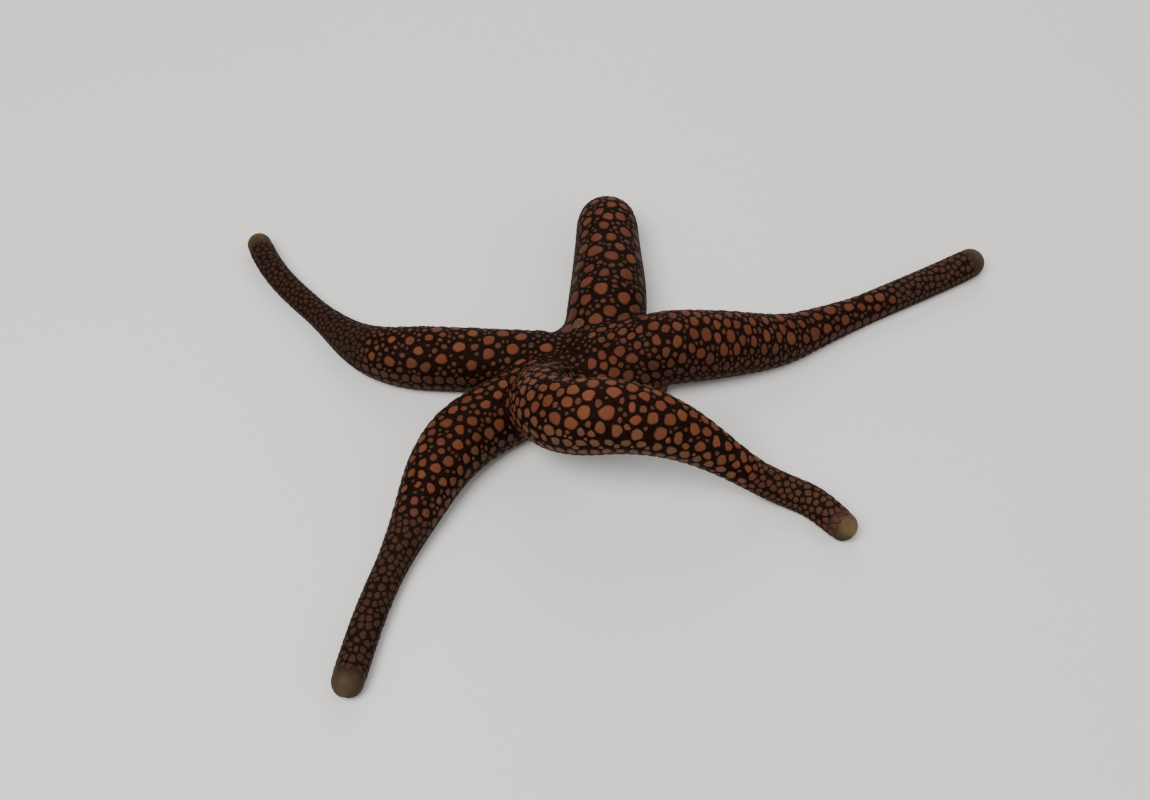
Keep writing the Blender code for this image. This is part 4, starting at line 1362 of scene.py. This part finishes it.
def jaw_sheets():
    """All the jaws: two stout pegs side by side towards the mouth, then three small pegs from their point.

    Each stands half way between the headings of two arms.
    """
    headings = np.sort([arm.heading % 360 for arm in ARMS])
    gaps = (np.roll(headings, -1) - headings) % 360
    between = np.radians(headings + gaps / 2)
    count = len(between)
    out = np.stack((np.cos(between), np.sin(between), np.zeros(count)), axis=1)
    side = np.stack((-np.sin(between), np.cos(between), np.zeros(count)), axis=1)
    wide = np.minimum(JAW_APART, 0.5 * JAW_OUTER * np.radians(gaps) / 2)[:, None]
    up = np.array([0.0, 0.0, 1.0])
    rows = []
    for sign in (1.0, -1.0):
        feet = out * JAW_OUTER + side * wide * sign * JAW_SPREAD[0] + up * JAW_HEIGHT
        tips = out * JAW_INNER + side * wide * sign * JAW_SPREAD[1] + up * JAW_HEIGHT
        rows.append((feet, tips, JAW_RADIUS, JAW_SHAPE))
    for lean in (-1.0, 0.0, 1.0):
        feet = out * (JAW_INNER + JAW_SPINE_ROOT) + side * wide * lean * JAW_SPINE_SPREAD + up * JAW_HEIGHT
        tips = feet - out * JAW_SPINE + side * wide * lean * JAW_SPINE_SPREAD
        rows.append((feet, tips, SPINE_RADIUS, SPINE_SHAPE))
    sheets = []
    for order, (feet, tips, radius, shape) in enumerate(rows):
        aside = unit(np.cross(tips - feet, up))
        points, share = pegs(feet, tips, aside, radius, shape)
        points[:, 2] = np.maximum(points[:, 2], order * JAW_STEP)
        corners, sizes = stack_faces(count, len(shape), PEG_SIDES)
        map_places = patches(np.arange(count), np.zeros(count), np.zeros(count), len(shape), PEG_SIDES)
        sheets.append((points, corners, sizes, {"out": share}, map_places))
    return sheets


jaws = join_sheets("jaws", jaw_sheets())
jaws.data.materials.append(spine_look)
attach(jaws, "root")

# Floor, light and camera
# A plain pale floor under soft studio light, seen from the front and above at the angle of the reference.

FLOOR_SIZE = 3.0
FLOOR_DROP = 0.00002
FLOOR_GREY = (0.62, 0.61, 0.59)
FLOOR_PALE = (0.70, 0.69, 0.67)
FLOOR_CLOUDS = 9.0
SKY_COLOUR = (0.78, 0.80, 0.83, 1.0)
SKY_STRENGTH = 0.45
LOOK_DOWN = 52.0
VIEW_WIDTH = 1150
FOCAL_PIXELS = 1388.0
METRES_A_PIXEL = 0.00022
LOOK_AT = np.array([-0.0061, -0.0111, 0.0070])
SENSOR_WIDTH = 36.0
NEAREST = 0.005

# Each lamp's size, power, place and colour.
LAMPS = {
    "key": (0.35, 5.5, (-0.25, -0.20, 0.55), (1.0, 0.98, 0.95)),
    "fill": (0.60, 2.2, (0.50, -0.15, 0.40), (1.0, 1.0, 1.0)),
    "back": (0.40, 2.0, (0.05, 0.50, 0.35), (1.0, 1.0, 1.0)),
}


def make_floor():
    """A flat sheet just under the soles, with a faint mottle."""
    half = FLOOR_SIZE / 2
    corners = np.array([(-half, -half, 0), (half, -half, 0), (half, half, 0), (-half, half, 0)], dtype=float)
    floor = new_piece("floor", corners - np.array([0, 0, FLOOR_DROP]), [0, 1, 2, 3], [4], smooth=False)
    matt = Finish("floor_matt", Roughness=0.85)
    cloud = matt.noise(FLOOR_CLOUDS, 3.0)
    floor.data.materials.append(matt.wear(Base_Color=matt.mix(cloud * 0.25, FLOOR_GREY, FLOOR_PALE)))


def soft_light(name, size, power, place, colour):
    """A large square lamp that points at the star."""
    lamp = bpy.data.lights.new(name, "AREA")
    lamp.size = size
    lamp.energy = power
    lamp.color = colour
    holder = bpy.data.objects.new(name, lamp)
    bpy.context.scene.collection.objects.link(holder)
    turn = (-Vector(place)).to_track_quat("-Z", "Y").to_matrix().to_4x4()
    holder.matrix_world = Matrix.Translation(place) @ turn


def make_sky():
    """An even pale light from all round."""
    world = bpy.data.worlds.new("studio")
    world.use_nodes = True
    sky = world.node_tree.nodes["Background"]
    sky.inputs["Color"].default_value = SKY_COLOUR
    sky.inputs["Strength"].default_value = SKY_STRENGTH
    bpy.context.scene.world = world


def make_camera():
    """The camera of the reference: its distance follows from the scale at the disc and its focal length."""
    tilt = math.radians(LOOK_DOWN)
    back = np.array([0.0, -math.cos(tilt), math.sin(tilt)])
    lens = bpy.data.cameras.new("camera")
    lens.sensor_width = SENSOR_WIDTH
    lens.lens = SENSOR_WIDTH * FOCAL_PIXELS / VIEW_WIDTH
    lens.clip_start = NEAREST
    holder = bpy.data.objects.new("camera", lens)
    bpy.context.scene.collection.objects.link(holder)
    place = MIDDLE + LOOK_AT + back * FOCAL_PIXELS * METRES_A_PIXEL
    turn = Vector(-back).to_track_quat("-Z", "Y").to_matrix().to_4x4()
    holder.matrix_world = Matrix.Translation(Vector(place)) @ turn
    bpy.context.scene.camera = holder


make_floor()
for lamp_name, settings in LAMPS.items():
    soft_light(lamp_name, *settings)
make_sky()
make_camera()
